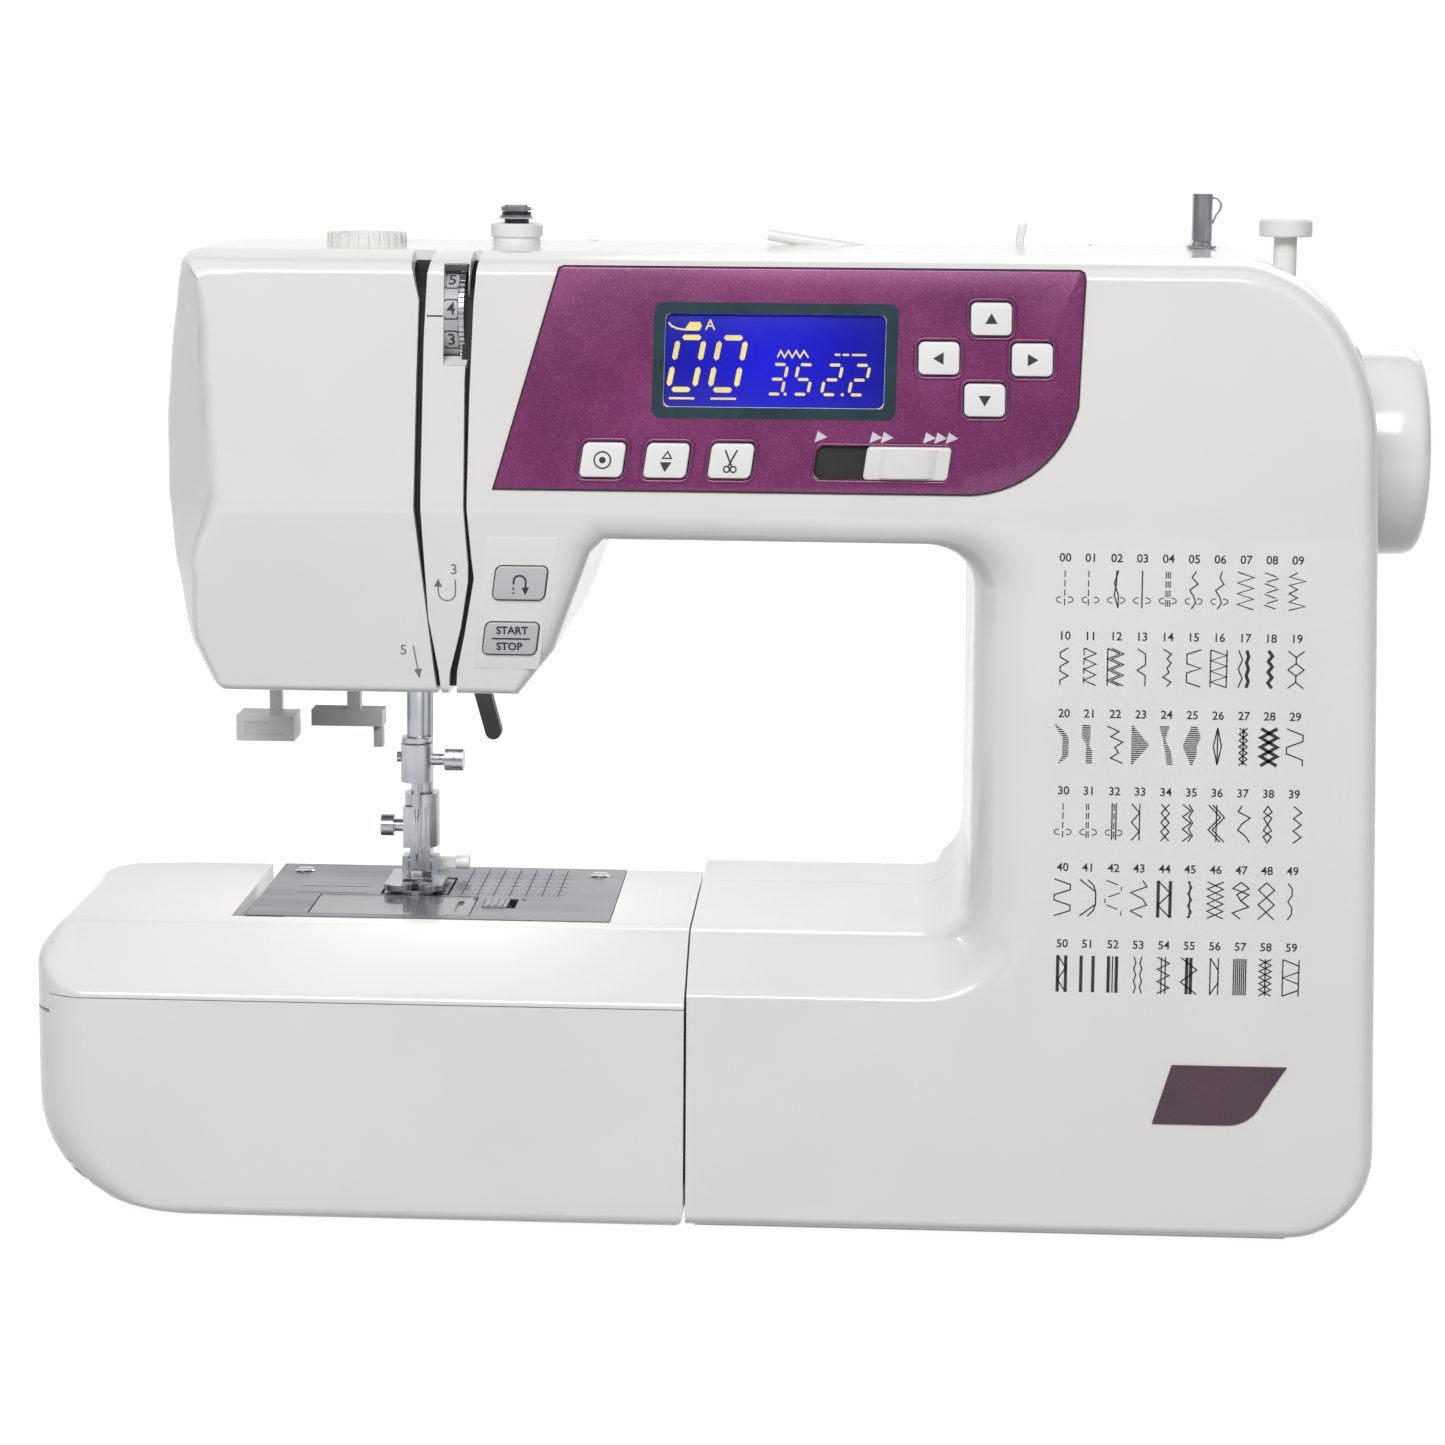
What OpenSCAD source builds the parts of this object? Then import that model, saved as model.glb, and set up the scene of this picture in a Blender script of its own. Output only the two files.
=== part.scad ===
// Free-arm computerised sewing machine, built from 60 separate pieces.
// +X points to the handwheel, +Y away from the user and +Z up.
// The origin is the middle of the footprint, on the table. Sizes are in millimetres.

/* [Body] */
// Length from the extension table's end to the handwheel's outer face
machine_length = 412.4; // [410:0.1:420]
// Depth of the base from front to back
machine_depth = 160; // [156:1:166]
// Height of the arm's top face
arm_top = 286.5; // [285:0.5:289]
// Thickness of the moulded covers
wall = 2.6; // [2.2:0.1:3]
// Depth at which the front cover meets the rear cover
seam_depth = 86; // [85:0.5:87]
// Gap left between two covers
seam_gap = 0.3; // [0.2:0.05:0.5]

/* [Arm and head] */
// Height of the arm's underside
arm_under = 204.5; // [203:0.5:206]
// Height of the head's underside
head_under = 158; // [157:0.5:159]
// Height of the crease along the front of the arm
crease_z = 213; // [212:0.5:214]
// Depth of the arm
arm_depth = 128; // [126:1:130]
// Depth of the column
column_depth = 140; // [138:1:144]
// Inner side of the column
column_left = 71; // [69:0.5:73]

/* [Bed and free arm] */
// Height of the bed's top face
bed_top = 85; // [84.5:0.1:85.5]
// Seam between the extension table and the base
table_seam = -11.5; // [-13:0.5:-10]
// Depth of the bed beside the column
bed_depth = 116; // [114:1:118]
// Depth of the free arm's rear face
free_arm_depth = 97; // [96:0.5:98]
// Left end of the free arm
free_arm_left = -148; // [-149:0.5:-147]
// Height of the rubber feet
foot_height = 1.5; // [1.2:0.1:2]

/* [Needle and presser foot] */
// Needle bar's place along the machine
needle_x = -99.3; // [-100:0.1:-98.5]
// Needle bar's depth behind the front
needle_depth = 65; // [64.5:0.1:65.5]
// Diameter of the needle bar
needle_bar_d = 6; // [5.8:0.1:6.2]
// Presser bar's depth behind the front
presser_depth = 77; // [76.5:0.1:77.5]
// Diameter of the presser bar
presser_bar_d = 7; // [6.8:0.1:7.2]
// Rotary hook's centre along the machine
hook_x = -103.6; // [-104:0.1:-103]
// Rotary hook's centre behind the front
hook_depth = 48.5; // [48:0.1:49]

/* [Shafts] */
// Diameter of the handwheel
wheel_d = 63; // [60:0.5:66]
// Width of the handwheel
wheel_width = 20.3; // [20:0.05:20.8]
// Height of the main shaft
shaft_z = 226.5; // [226:0.5:227]
// Depth of both shafts behind the front
shaft_depth = 68; // [67.5:0.5:68.5]
// Diameter of both shafts
shaft_d = 8; // [7:0.5:8]
// Height of the lower shaft
lower_shaft_z = 42; // [41.5:0.5:42.5]
// Extra diameter of a bore that a shaft runs in
running_fit = 0.08; // [0.04:0.01:0.16]

/* [Controls] */
// Width of an arrow button
arrow_w = 12; // [11:0.1:12.5]
// Height of an arrow button
arrow_h = 9.5; // [9:0.1:10]
// Width of a function button
function_w = 12.8; // [12:0.1:13]
// Height of a function button
function_h = 9.8; // [9:0.1:10]
// Free gap around a button
button_gap = 0.35; // [0.25:0.05:0.5]
// How far a button stands out of the panel
button_rise = 1.7; // [1.4:0.1:2]
// Thickness of the control panel's overlay
panel_t = 0.8; // [0.6:0.1:1]

/* [Hidden] */
$fn = 64;
wheel_right = machine_length / 2;
wheel_gap = 1;
body_right = wheel_right - wheel_width - wheel_gap;
base_right = body_right + 4.4;
table_left = -machine_length / 2;
base_z = foot_height;
inner_r = 15;
corner_r = 25;
face_top_z = 280;
face_top_depth = 7;
head_low_depth = 8;
upper_tilt = atan(face_top_depth / (face_top_z - crease_z));
lower_tilt = atan(head_low_depth / (crease_z - head_under));
bed_slant_depth = 26;
bed_slant_z = 67.5;
column_blend_depth = 20;
column_blend_x = 92.4;
slot_left = -92.7;
slot_right = -75.7;
slot_w = 2.8;
dial_x0 = -83.4;
dial_x1 = -77.3;
dial_z = 268;
dial_depth = 21;
dial_r = 15.5;
pivot_z = 275;
plate_x0 = -146.5;
plate_x1 = -36.3;
plate_t = 1.6;
arrow_keys = [["up", 74.2, 269.9], ["left", 60.4, 258.2], ["right", 87.3, 257.9], ["down", 73.9, 246.2]];
function_keys = [-37.1, -18.4, 0];
function_key_z = 227.7;
reverse_x = -60.7;
reverse_z = 190.9;
start_x = -63.8;
start_z = 174.4;
slider_slot = [23.7, 63.7];
slider_z = 228;
slider_h = 9.5;
slider_w = 25.4;
lcd_x = 12;
lcd_z = 256.3;
winder_x = 139.6;
winder_depth = 75;
stopper_x = 164.8;
spool_hinge_x = 44;
spool_hinge_z = 284;
spool_depth = 80;
pressure_x = -112.8;
pressure_depth = 60;
handle_x0 = -45;
handle_x1 = 105;
handle_hinge_depth = 94;
handle_hinge_z = 279;
handle_reach = 28;
motor_depth = 108;
motor_z = 100;
belt_x = 150;
motor_belt_x = 161;
pulley_w = 8;
timing_r = 11;
drive_r = 25;
motor_r = 6;
lower_gear_r = 12.5;
hook_gear_r = 6.2;
lifter_x = -90;
lifter_z = 168;
lifter_depth = 99.3;
take_up_depth = 46;
take_up_z = 240;
take_up_reach = 37;
take_up_x = [-93.4, -92];
table_z = 1;
lid_hinge_depth = 5;
lid_hinge_z = 7;
lid_top = bed_slant_z - 0.5;
switch_depth = 68;
switch_z = 38;
switch_x = base_right - 0.6;
inlet_depth = 108;
inlet_z = 32;
slider_rise = 4.4;
screw_head_h = 1;
slider_overhang = slider_rise * cos(upper_tilt) + (slider_h - 0.6) / 2 * sin(upper_tilt)
    - (slider_z - crease_z) * tan(upper_tilt);
// the middle of the whole depth, with what stands out at the front and the rear, is at Y = 0
front = (slider_overhang - machine_depth - screw_head_h) / 2;

// Y coordinate of a point that lies d behind the front
function back(d) = front + d;

// Points of an elliptical arc about c, from angle a0 to a1
function arc2(c, rx, ry, a0, a1, n = 10) =
    [for (i = [0:n]) [c.x + rx * cos(a0 + (a1 - a0) * i / n), c.y + ry * sin(a0 + (a1 - a0) * i / n)]];

// Points of a round arc about c
function arc(c, r, a0, a1, n = 10) = arc2(c, r, r, a0, a1, n);

// Extrudes an outline drawn in X and Z from depth d0 to depth d1
module along_y(d0, d1) translate([0, back(d1), 0]) rotate([90, 0, 0]) linear_extrude(d1 - d0) children();

// Extrudes an outline drawn in depth and Z from x0 to x1
module along_x(x0, x1) translate([x0, front, 0]) rotate([90, 0, 90]) linear_extrude(x1 - x0) children();

// A block between two X, two depth and two Z values
module block(x, d, z) translate([x[0], back(d[0]), z[0]]) cube([x[1] - x[0], d[1] - d[0], z[1] - z[0]]);

// Round rods along each axis
module rod_x(x, d, z, r) translate([x[0], back(d), z]) rotate([0, 90, 0]) cylinder(h = x[1] - x[0], r = r);
module rod_y(x, d, z, r) translate([x, back(d[1]), z]) rotate([90, 0, 0]) cylinder(h = d[1] - d[0], r = r);
module rod_z(x, d, z, r) translate([x, back(d), z[0]]) cylinder(h = z[1] - z[0], r = r);

// A flat outline with round corners, centred
module round_rect(w, h, r) {
    square([w - 2 * r, h], center = true);
    square([w, h - 2 * r], center = true);
    for (sx = [-1, 1], sy = [-1, 1]) translate([sx * (w / 2 - r), sy * (h / 2 - r)]) circle(r);
}

// Draws on the arm's upper front face: x across, y up the slope from the crease, z out of it
module on_upper(x, z)
    translate([x, back((z - crease_z) * tan(upper_tilt)), z]) rotate([90 - upper_tilt, 0, 0]) children();

// Draws on the head's lower front face
module on_lower(x, z)
    translate([x, back((crease_z - z) * tan(lower_tilt)), z]) rotate([90 + lower_tilt, 0, 0]) children();

// Outline of the head, arm, column and base seen from the front, drawn in by i
function case_outline(i) = concat(
    [[table_seam + i, base_z + i]],
    arc([base_right - corner_r, base_z + corner_r], corner_r - i, -90, 0),
    arc2([body_right - 41, arm_top - 54], 40.7 - i, 54 - i, 0, 90),
    arc([-155.8, arm_top - 6], 6 - i, 90, 165),
    [[-165.7 + i, 262], [-168 + i, 238], [-167.5 + i, 214], [-164.6 + i, 194], [-158.6 + i, 172]],
    arc([-147, head_under + 6], 6 - i, 210, 270),
    [[-61.4 - 1.2 * i, head_under + i], [-50.9 - 1.3 * i, 171], [-40 - i, arm_under - 4 + i]],
    [[-36, arm_under + i]],
    arc([column_left - inner_r, arm_under - inner_r], inner_r + i, 90, 0),
    arc([column_left - inner_r, bed_top + inner_r], inner_r + i, 0, -90),
    [[table_seam + i, bed_top - i]]);

// Side outlines of the front half, from the front to the depth d
function top_curve(i) = concat(
    [[i, crease_z], [face_top_depth + i, face_top_z - i]],
    arc2([24, face_top_z - 4], 16 - i, arm_top - face_top_z + 4 - i, 160, 90));

function arm_profile(i, d) = concat(
    [[d, arm_top - i], [d, head_under], [head_low_depth + i, head_under]], top_curve(i));

function column_profile(i, d) = concat([[d, arm_top - i], [d, 0], [i, 0]], top_curve(i));

// The slanted edges around the sewing space
module opening_edges(i) {
    along_x(table_seam - 40, column_blend_x + i)
        polygon([[-5, bed_slant_z - i], [i, bed_slant_z - i], [bed_slant_depth + i, bed_top - i],
            [bed_slant_depth + i, bed_top + 1], [-5, bed_top + 1]]);
    translate([0, 0, bed_top - 6]) linear_extrude(arm_under - bed_top + 6)
        polygon([[column_blend_x + i, back(i)], [column_left + i, back(column_blend_depth + i)],
            [column_left - 3, back(column_blend_depth + i)], [column_left - 3, back(-5)],
            [column_blend_x + i, back(-5)]]);
}

// The front half of the casing, drawn in by i and reaching back to the depth d
module front_solid(i, d) {
    difference() {
        intersection() {
            along_y(-1, d) polygon(case_outline(i));
            union() {
                along_x(-185, column_left + 1) polygon(arm_profile(i, d));
                along_x(column_left + 1, base_right) polygon(column_profile(i, d));
                block([table_seam - 5, column_left + 1], [i, d], [0, bed_top + 1]);
            }
        }
        opening_edges(i);
        // the head's front left edge
        translate([0, 0, head_under - 5]) linear_extrude(arm_top - head_under + 10)
            polygon([[-141.7 + 1.25 * i, back(-6)], [-171.7 + 1.25 * i, back(34)], [-200, back(34)],
                [-200, back(-6)]]);
    }
}

// Side outline of the rear half: the base slopes down behind the bed and the column
function rear_profile(i, d) = [[seam_depth + d, base_z], [machine_depth - i, base_z], [machine_depth - i, 58],
    [column_depth - i, 76], [column_depth - i, 232], [column_depth - 8 - i, 262],
    [column_depth - 26 - i, arm_top - i], [seam_depth + d, arm_top - i]];

function rear_bed_profile(i, d) = [[seam_depth + d, base_z], [machine_depth - i, base_z],
    [machine_depth - i, 58], [bed_depth + 8 - i, bed_top - 5], [bed_depth - 1 - i, bed_top - i],
    [seam_depth + d, bed_top - i]];

function rear_arm_profile(i, d) = [[seam_depth + d, head_under], [arm_depth - 12 - i, head_under],
    [arm_depth - i, head_under + 16], [arm_depth - i, 250], [arm_depth - 12 - i, arm_top - i],
    [seam_depth + d, arm_top - i]];

// What lies outside the rear's slanted flank between the arm and the column
module rear_flanks(i) {
    translate([0, 0, 40]) linear_extrude(arm_top)
        polygon([[column_left - 6, back(arm_depth - i)], [column_left + 17, back(column_depth - i)],
            [column_left + 17, back(170)], [column_left - 6, back(170)]]);
}

module rear_solid(i, d) {
    intersection() {
        along_y(seam_depth + d, machine_depth) polygon(case_outline(i));
        union() {
            along_x(-185, column_left + 20) polygon(rear_arm_profile(i, d));
            along_x(-185, column_left + 20) polygon(rear_bed_profile(i, d));
            difference() {
                along_x(column_left - 6 + i, base_right) polygon(rear_profile(i, d));
                rear_flanks(i);
            }
        }
    }
}

// Openings for the keys of the control panel, cut h deep
module key_holes(h) {
    for (k = arrow_keys) on_upper(k[1], k[2]) translate([0, 0, -h / 2])
        linear_extrude(h) square([arrow_w + 2 * button_gap, arrow_h + 2 * button_gap], center = true);
    for (x = function_keys) on_upper(x, function_key_z) translate([0, 0, -h / 2])
        linear_extrude(h) square([function_w + 2 * button_gap, function_h + 2 * button_gap], center = true);
    on_upper((slider_slot[0] + slider_slot[1]) / 2, slider_z) translate([0, 0, -h / 2])
        linear_extrude(h) square([slider_slot[1] - slider_slot[0] + 1, slider_h + 0.8], center = true);
    on_upper(lcd_x, lcd_z) translate([0, 0, -h / 2])
        linear_extrude(h) square([64.4, 27.4], center = true);
}

module front_cover() {
    color("whitesmoke") difference() {
        front_solid(0, seam_depth);
        front_solid(wall, seam_depth + 1);
        // the base and the head are open underneath
        block([table_seam + wall, base_right - corner_r], [wall, seam_depth + 1], [-1, 12]);
        block([-150, -66], [22, seam_depth + 1], [head_under - 5, head_under + 8]);
        // thread slots and the window of the tension dial
        for (x = [slot_left, slot_right])
            block([x - slot_w / 2, x + slot_w / 2], [-1, 26], [head_under - 5, 279]);
        block([dial_x0 - 0.4, slot_right], [-1, 30], [256.3, 279.8]);
        rod_x([dial_x0 - 0.4, dial_x1 + 0.4], dial_depth, dial_z, dial_r + 0.4);
        // sockets of the winding guide and the winder stopper
        rod_z(-67.3, 60, [arm_top - 2.1, arm_top + 1], 7.02);
        rod_z(stopper_x, winder_depth, [271, arm_top + 1], 3.55);
        key_holes(20);
        on_lower(reverse_x, reverse_z) cube([14.8 + 2 * button_gap, 9.6 + 2 * button_gap, 20], center = true);
        on_lower(start_x, start_z) cube([15.8 + 2 * button_gap, 9.2 + 2 * button_gap, 20], center = true);
        // shaft hole, power switch and the ways in through the top
        rod_x([body_right - 5, body_right + 1], shaft_depth, shaft_z, 7);
        block([switch_x - 5, switch_x + 2], [switch_depth - 8.4, switch_depth + 8.4],
            [switch_z - 10.4, switch_z + 10.4]);
        rod_z(pressure_x, pressure_depth, [arm_top - 5, arm_top + 1], 13.2);
        block([winder_x - 5, winder_x + 11.5], [winder_depth - 4.6, winder_depth + 4.6],
            [arm_top - 5, arm_top + 1]);
        block([4, spool_hinge_x + 4], [spool_depth - 2.6, spool_depth + 2.6], [arm_top - 5, arm_top + 1]);
        // the free arm passes through the base's left wall
        block([table_seam - 1, table_seam + 5], [30, seam_depth + 1], [-1, bed_top - wall]);
    }
}

module rear_cover() {
    color("whitesmoke") difference() {
        rear_solid(0, seam_gap);
        difference() {
            rear_solid(wall, seam_gap - 1);
            // walls of the handle's recess
            block([handle_x0 - 6, handle_x1 + 6], [seam_depth, arm_depth + 1], [arm_top - 18, arm_top]);
        }
        block([handle_x0 - 3, handle_x1 + 3], [seam_depth + seam_gap + 2, arm_depth + 30],
            [arm_top - 15.5, arm_top + 1]);
        block([table_seam + wall, base_right - corner_r], [seam_depth - 1, machine_depth - wall], [-1, 12]);
        block([-150, -66], [seam_depth - 1, 106], [head_under - 5, head_under + 8]);
        block([table_seam - 1, table_seam + 5], [seam_depth - 1, free_arm_depth], [-1, bed_top - wall]);
        rod_x([handle_x0 - 7, handle_x1 + 7], handle_hinge_depth, handle_hinge_z, (3.6 + running_fit) / 2);
        // socket of the thread hook
        block([83.55, 86.05], [88.35, 91.05], [arm_top - 2.1, arm_top + 1]);
        // power inlet
        block([switch_x - 5, switch_x + 2], [inlet_depth - 10.3, inlet_depth + 10.3],
            [inlet_z - 8.3, inlet_z + 8.3]);
        // screw holes and ventilation slots
        for (p = cover_screw_places) rod_y(p[0], [p[1] - 6, p[1] + 1], p[2], 1.8);
        for (k = [0:6]) block([100 + 9 * k, 104 + 9 * k], [column_depth - 5, column_depth + 1], [110, 150]);
    }
}

// X, depth of the outer face and Z of each cover screw
cover_screw_places = [[-150, arm_depth, 225], [20, arm_depth, 225], [96, column_depth, 200],
    [172, column_depth, 200], [12, machine_depth, 24], [150, machine_depth, 24]];

module cover_screws() {
    color("silver") for (p = cover_screw_places) {
        rod_y(p[0], [p[1] - 12, p[1] + 0.2], p[2], 1.6);
        difference() {
            rod_y(p[0], [p[1] + 0.05, p[1] + screw_head_h], p[2], 3.5);
            block([p[0] - 0.5, p[0] + 0.5], [p[1] + 0.4, p[1] + 2], [p[2] - 2.5, p[2] + 2.5]);
            block([p[0] - 2.5, p[0] + 2.5], [p[1] + 0.4, p[1] + 2], [p[2] - 0.5, p[2] + 0.5]);
        }
    }
}

module base_plate() {
    color("lightgray") difference() {
        union() {
            block([table_seam + wall + 0.3, base_right - corner_r - 0.3],
                [wall + 0.3, machine_depth - wall - 0.3], [base_z, base_z + 3]);
            // the ledge under the free arm
            block([-140, table_seam + 5], [34, 94], [base_z, base_z + 3]);
            for (d = [34, 91]) block([-140, table_seam - 1], [d, d + 3], [base_z, base_z + 8]);
            block([-140, -137], [34, 94], [base_z, base_z + 8]);
        }
        for (p = rubber_foot_places) rod_z(p[0], p[1], [base_z - 1, base_z + 1.5], 6);
        for (k = [0:7]) block([40 + 12 * k, 45 + 12 * k], [100, 130], [base_z - 1, base_z + 4]);
    }
}

rubber_foot_places = [[-128, 44], [-128, 84], [2, 18], [2, 142], [150, 18], [150, 142]];

module rubber_feet() {
    color("dimgray") for (p = rubber_foot_places) {
        rod_z(p[0], p[1], [0, base_z], 8);
        rod_z(p[0], p[1], [base_z - 0.5, base_z + 1.4], 5.8);
    }
}

module free_arm_cover() {
    color("whitesmoke") difference() {
        free_arm_solid(0);
        free_arm_solid(wall);
        // open into the base and under the needle plate
        block([table_seam - 3, table_seam + 2], [30.2 + wall, free_arm_depth - wall],
            [22 + wall, bed_top - wall]);
        block([plate_x0 + 3, plate_x1 - 3], [34, 93.6], [bed_top - 6, bed_top + 1]);
        block([plate_x0 - 0.2, plate_x1 + 0.2], [30.4, free_arm_depth + 1],
            [bed_top - plate_t + 0.2, bed_top + 1]);
        // slot for the drop-feed lever
        block([-96, -80], [free_arm_depth - 5, free_arm_depth + 1], [47, 53]);
    }
}

// The free arm's outer shape, round at its left end
module free_arm_solid(i) {
    r = 16;
    intersection() {
        along_y(30.2 + i, free_arm_depth - i) polygon(concat(
            [[table_seam - 0.4, 22 + i], [table_seam - 0.4, bed_top - i]],
            arc([free_arm_left + 4, bed_top - 4], 4 - i, 90, 180, 6),
            arc([free_arm_left + r, 22 + r], r - i, 180, 270)));
        translate([0, 0, 10]) linear_extrude(bed_top) polygon(concat(
            [[0, back(30.2 + i)], [0, back(free_arm_depth - i)]],
            arc([free_arm_left + r, back(free_arm_depth - r)], r - i, 90, 180),
            arc([free_arm_left + r, back(30.2 + r)], r - i, 180, 270)));
    }
}

module needle_plate() {
    color("silver") difference() {
        union() {
            block([plate_x0, plate_x1], [30.6, free_arm_depth - 0.2],
                [bed_top + 0.25 - plate_t, bed_top + 0.25]);
            // screw bosses under the plate
            for (x = [plate_x0 + 8, plate_x1 - 8]) rod_z(x, 88, [bed_top - 8, bed_top - 1], 3);
        }
        block([hook_x - 24.8, hook_x + 24.6], [34.2, 58], [bed_top - 4, bed_top + 1]);
        block([-76.6, -66.4], [44.4, 55.6], [bed_top - 4, bed_top + 1]);
        for (x = [needle_x - 8.2, needle_x + 8.2])
            block([x - 2.5, x + 2.5], [59.3, 81.9], [bed_top - 4, bed_top + 1]);
        block([needle_x - 3.4, needle_x + 3.4], [70.2, 81.9], [bed_top - 4, bed_top + 1]);
        block([needle_x - 5.2, needle_x + 5.2], [needle_depth - 1.3, needle_depth + 1.3],
            [bed_top - 4, bed_top + 1]);
    }
}

// Outline of the control panel on the arm's sloping face, drawn in by i
function panel_outline(i) = concat(
    [[-67.4 + i, 6.4 + i], [62, 6.4 + i]],
    arc([68, 38.4], 32 - i, -78, -22, 8),
    [[102.3 - i, 69.9 - i], [-49 + i, 69.9 - i]]);

module control_panel() {
    color("purple") difference() {
        union() {
            on_upper(0, crease_z) translate([0, 0, 0.1]) linear_extrude(panel_t) polygon(panel_outline(0));
            on_upper(lcd_x, lcd_z) translate([0, 0, 0.1]) linear_extrude(panel_t + 0.4) round_rect(71, 33, 3);
        }
        key_holes(8);
    }
}

module lcd_screen() {
    color("midnightblue") on_upper(lcd_x, lcd_z) {
        translate([0, 0, -1.6]) linear_extrude(2) round_rect(63.6, 26.6, 0.5);
        translate([0, 0, -6]) linear_extrude(3) round_rect(68, 32, 1);
        translate([0, 0, -4]) linear_extrude(3) round_rect(60, 24, 1);
    }
}

module badge_plate() {
    color("indigo") along_y(-0.5, -0.05) polygon(concat(
        [[124.4, 36.4], [146, 36.4]], arc([146, 47], 10.6, -90, -20, 8), [[162.8, 54], [129.7, 54]]));
}

module led_lamp() {
    color("white") {
        block([-94, -73], [42, 54], [164, 174]);
        block([-92, -75], [43, 53], [159.5, 164.1]);
        for (x = [-88, -79]) rod_z(x, 48, [157.6, 159.6], 2.4);
    }
}

// Cast frame that carries every shaft, bar and pivot
module chassis() {
    color("slategray") difference() {
        union() {
            // rails in the base, the column and the arm
            block([-136, 60], [58, 92], [25.5, 31]);
            block([-122, -86], [36, 60], [25.5, 31]);
            rod_z(hook_x, hook_depth, [25.5, 35], 7);
            block([40, 140], [30, 92], [base_z + 3.2, 31]);
            block([118, 130], [40, 84], [base_z + 3.2, 130]);
            block([118, 130], [42, 98], [126, 260]);
            block([-72, 132], [86, 100], [238, 262]);
            block([-72, -66], [40, 110], [162, 282]);
            block([-72, -66], [12, 42], [262, 274]);
            // bushes of the main and the lower shaft
            rod_x([-74, -62], shaft_depth, shaft_z, 9);
            rod_x([112, 138], shaft_depth, shaft_z, 9);
            block([-60, -50], [shaft_depth - 8, shaft_depth + 8], [30, lower_shaft_z + 8]);
            rod_x([112, 138], shaft_depth, lower_shaft_z, 9);
            // guides of the presser bar
            for (z = [162, 252]) {
                block([needle_x, -68], [presser_depth - 3, presser_depth + 3], [z, z + 9]);
                rod_z(needle_x, presser_depth, [z, z + 9], 6);
            }
            // hinge pin of the needle bar's support
            block([needle_x - 5, -68], [74.5, 79.5], [270, 280]);
            rod_y(needle_x, [58, 75], pivot_z, 2.5);
            // stubs of the take-up lever, the tension dial and the presser lifter
            rod_x([-93.6, -70], take_up_depth, take_up_z, 2.5);
            rod_x([dial_x0 - 0.6, -70], dial_depth, dial_z, 2.5);
            block([lifter_x - 6, -68], [104, 109], [lifter_z - 6, lifter_z + 7]);
            rod_y(lifter_x, [95.5, 105], lifter_z, 2.5);
            // motor bracket
            block([96, 100], [80, 130], [31, 124]);
            block([96, 140], [84, 130], [base_z + 3.2, 31]);
        }
        rod_x([-75, 140], shaft_depth, shaft_z, (shaft_d + running_fit) / 2);
        rod_x([-61, 140], shaft_depth, lower_shaft_z, (shaft_d + running_fit) / 2);
        rod_z(hook_x, hook_depth, [20, 36], (6 + running_fit) / 2);
        rod_z(needle_x, presser_depth, [160, 264], (presser_bar_d + running_fit) / 2);
        rod_x([94, 101], motor_depth, motor_z, 4);
        // room for the gear on the lower shaft
        block([hook_x - 6, hook_x + 6], [53, 83], [29, 32]);
    }
}

module motor() {
    color("dimgray") {
        rod_x([100.2, 148], motor_depth, motor_z, 21);
        rod_x([148, 152], motor_depth, motor_z, 7);
    }
}

module motor_pulley() {
    color("silver") {
        rod_x([152.4, motor_belt_x + pulley_w + 2], motor_depth, motor_z, 2.5);
        rod_x([motor_belt_x, motor_belt_x + pulley_w], motor_depth, motor_z, motor_r);
        rod_x([motor_belt_x - 1, motor_belt_x], motor_depth, motor_z, motor_r + 1.6);
        rod_x([motor_belt_x + pulley_w, motor_belt_x + pulley_w + 1], motor_depth, motor_z, motor_r + 1.6);
    }
}

// One belt loop around two pulleys, r0 and r1 in radius
module belt(x, d0, z0, r0, d1, z1, r1) {
    gap = 0.4;
    thick = 1.5;
    along_x(x + 0.8, x + pulley_w - 0.8) difference() {
        hull() {
            translate([d0, z0]) circle(r0 + gap + thick, $fn = 48);
            translate([d1, z1]) circle(r1 + gap + thick, $fn = 48);
        }
        hull() {
            translate([d0, z0]) circle(r0 + gap, $fn = 48);
            translate([d1, z1]) circle(r1 + gap, $fn = 48);
        }
    }
}

module timing_belts() {
    color("black") {
        belt(belt_x, shaft_depth, shaft_z, timing_r, shaft_depth, lower_shaft_z, timing_r);
        belt(motor_belt_x, shaft_depth, shaft_z, drive_r, motor_depth, motor_z, motor_r);
    }
}

module handwheel() {
    color("whitesmoke") translate([body_right + wheel_gap, back(shaft_depth), shaft_z])
            rotate([0, 90, 0]) difference() {
        rotate_extrude() polygon(concat(
            [[(shaft_d + 0.04) / 2, -0.5], [12, -0.5], [12, 0], [wheel_d / 2 - 2, 0]],
            arc([wheel_d / 2 - 2, 2], 2, -90, 0, 5),
            arc([wheel_d / 2 - 2.5, wheel_width - 3.7], 2.5, 0, 70, 6),
            [[0, wheel_width], [0, wheel_width - 3], [(shaft_d + 0.04) / 2, wheel_width - 3]]));
        translate([0, 0, -2]) cylinder(h = wheel_width - 2, r = (shaft_d + 0.04) / 2);
    }
}

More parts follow.
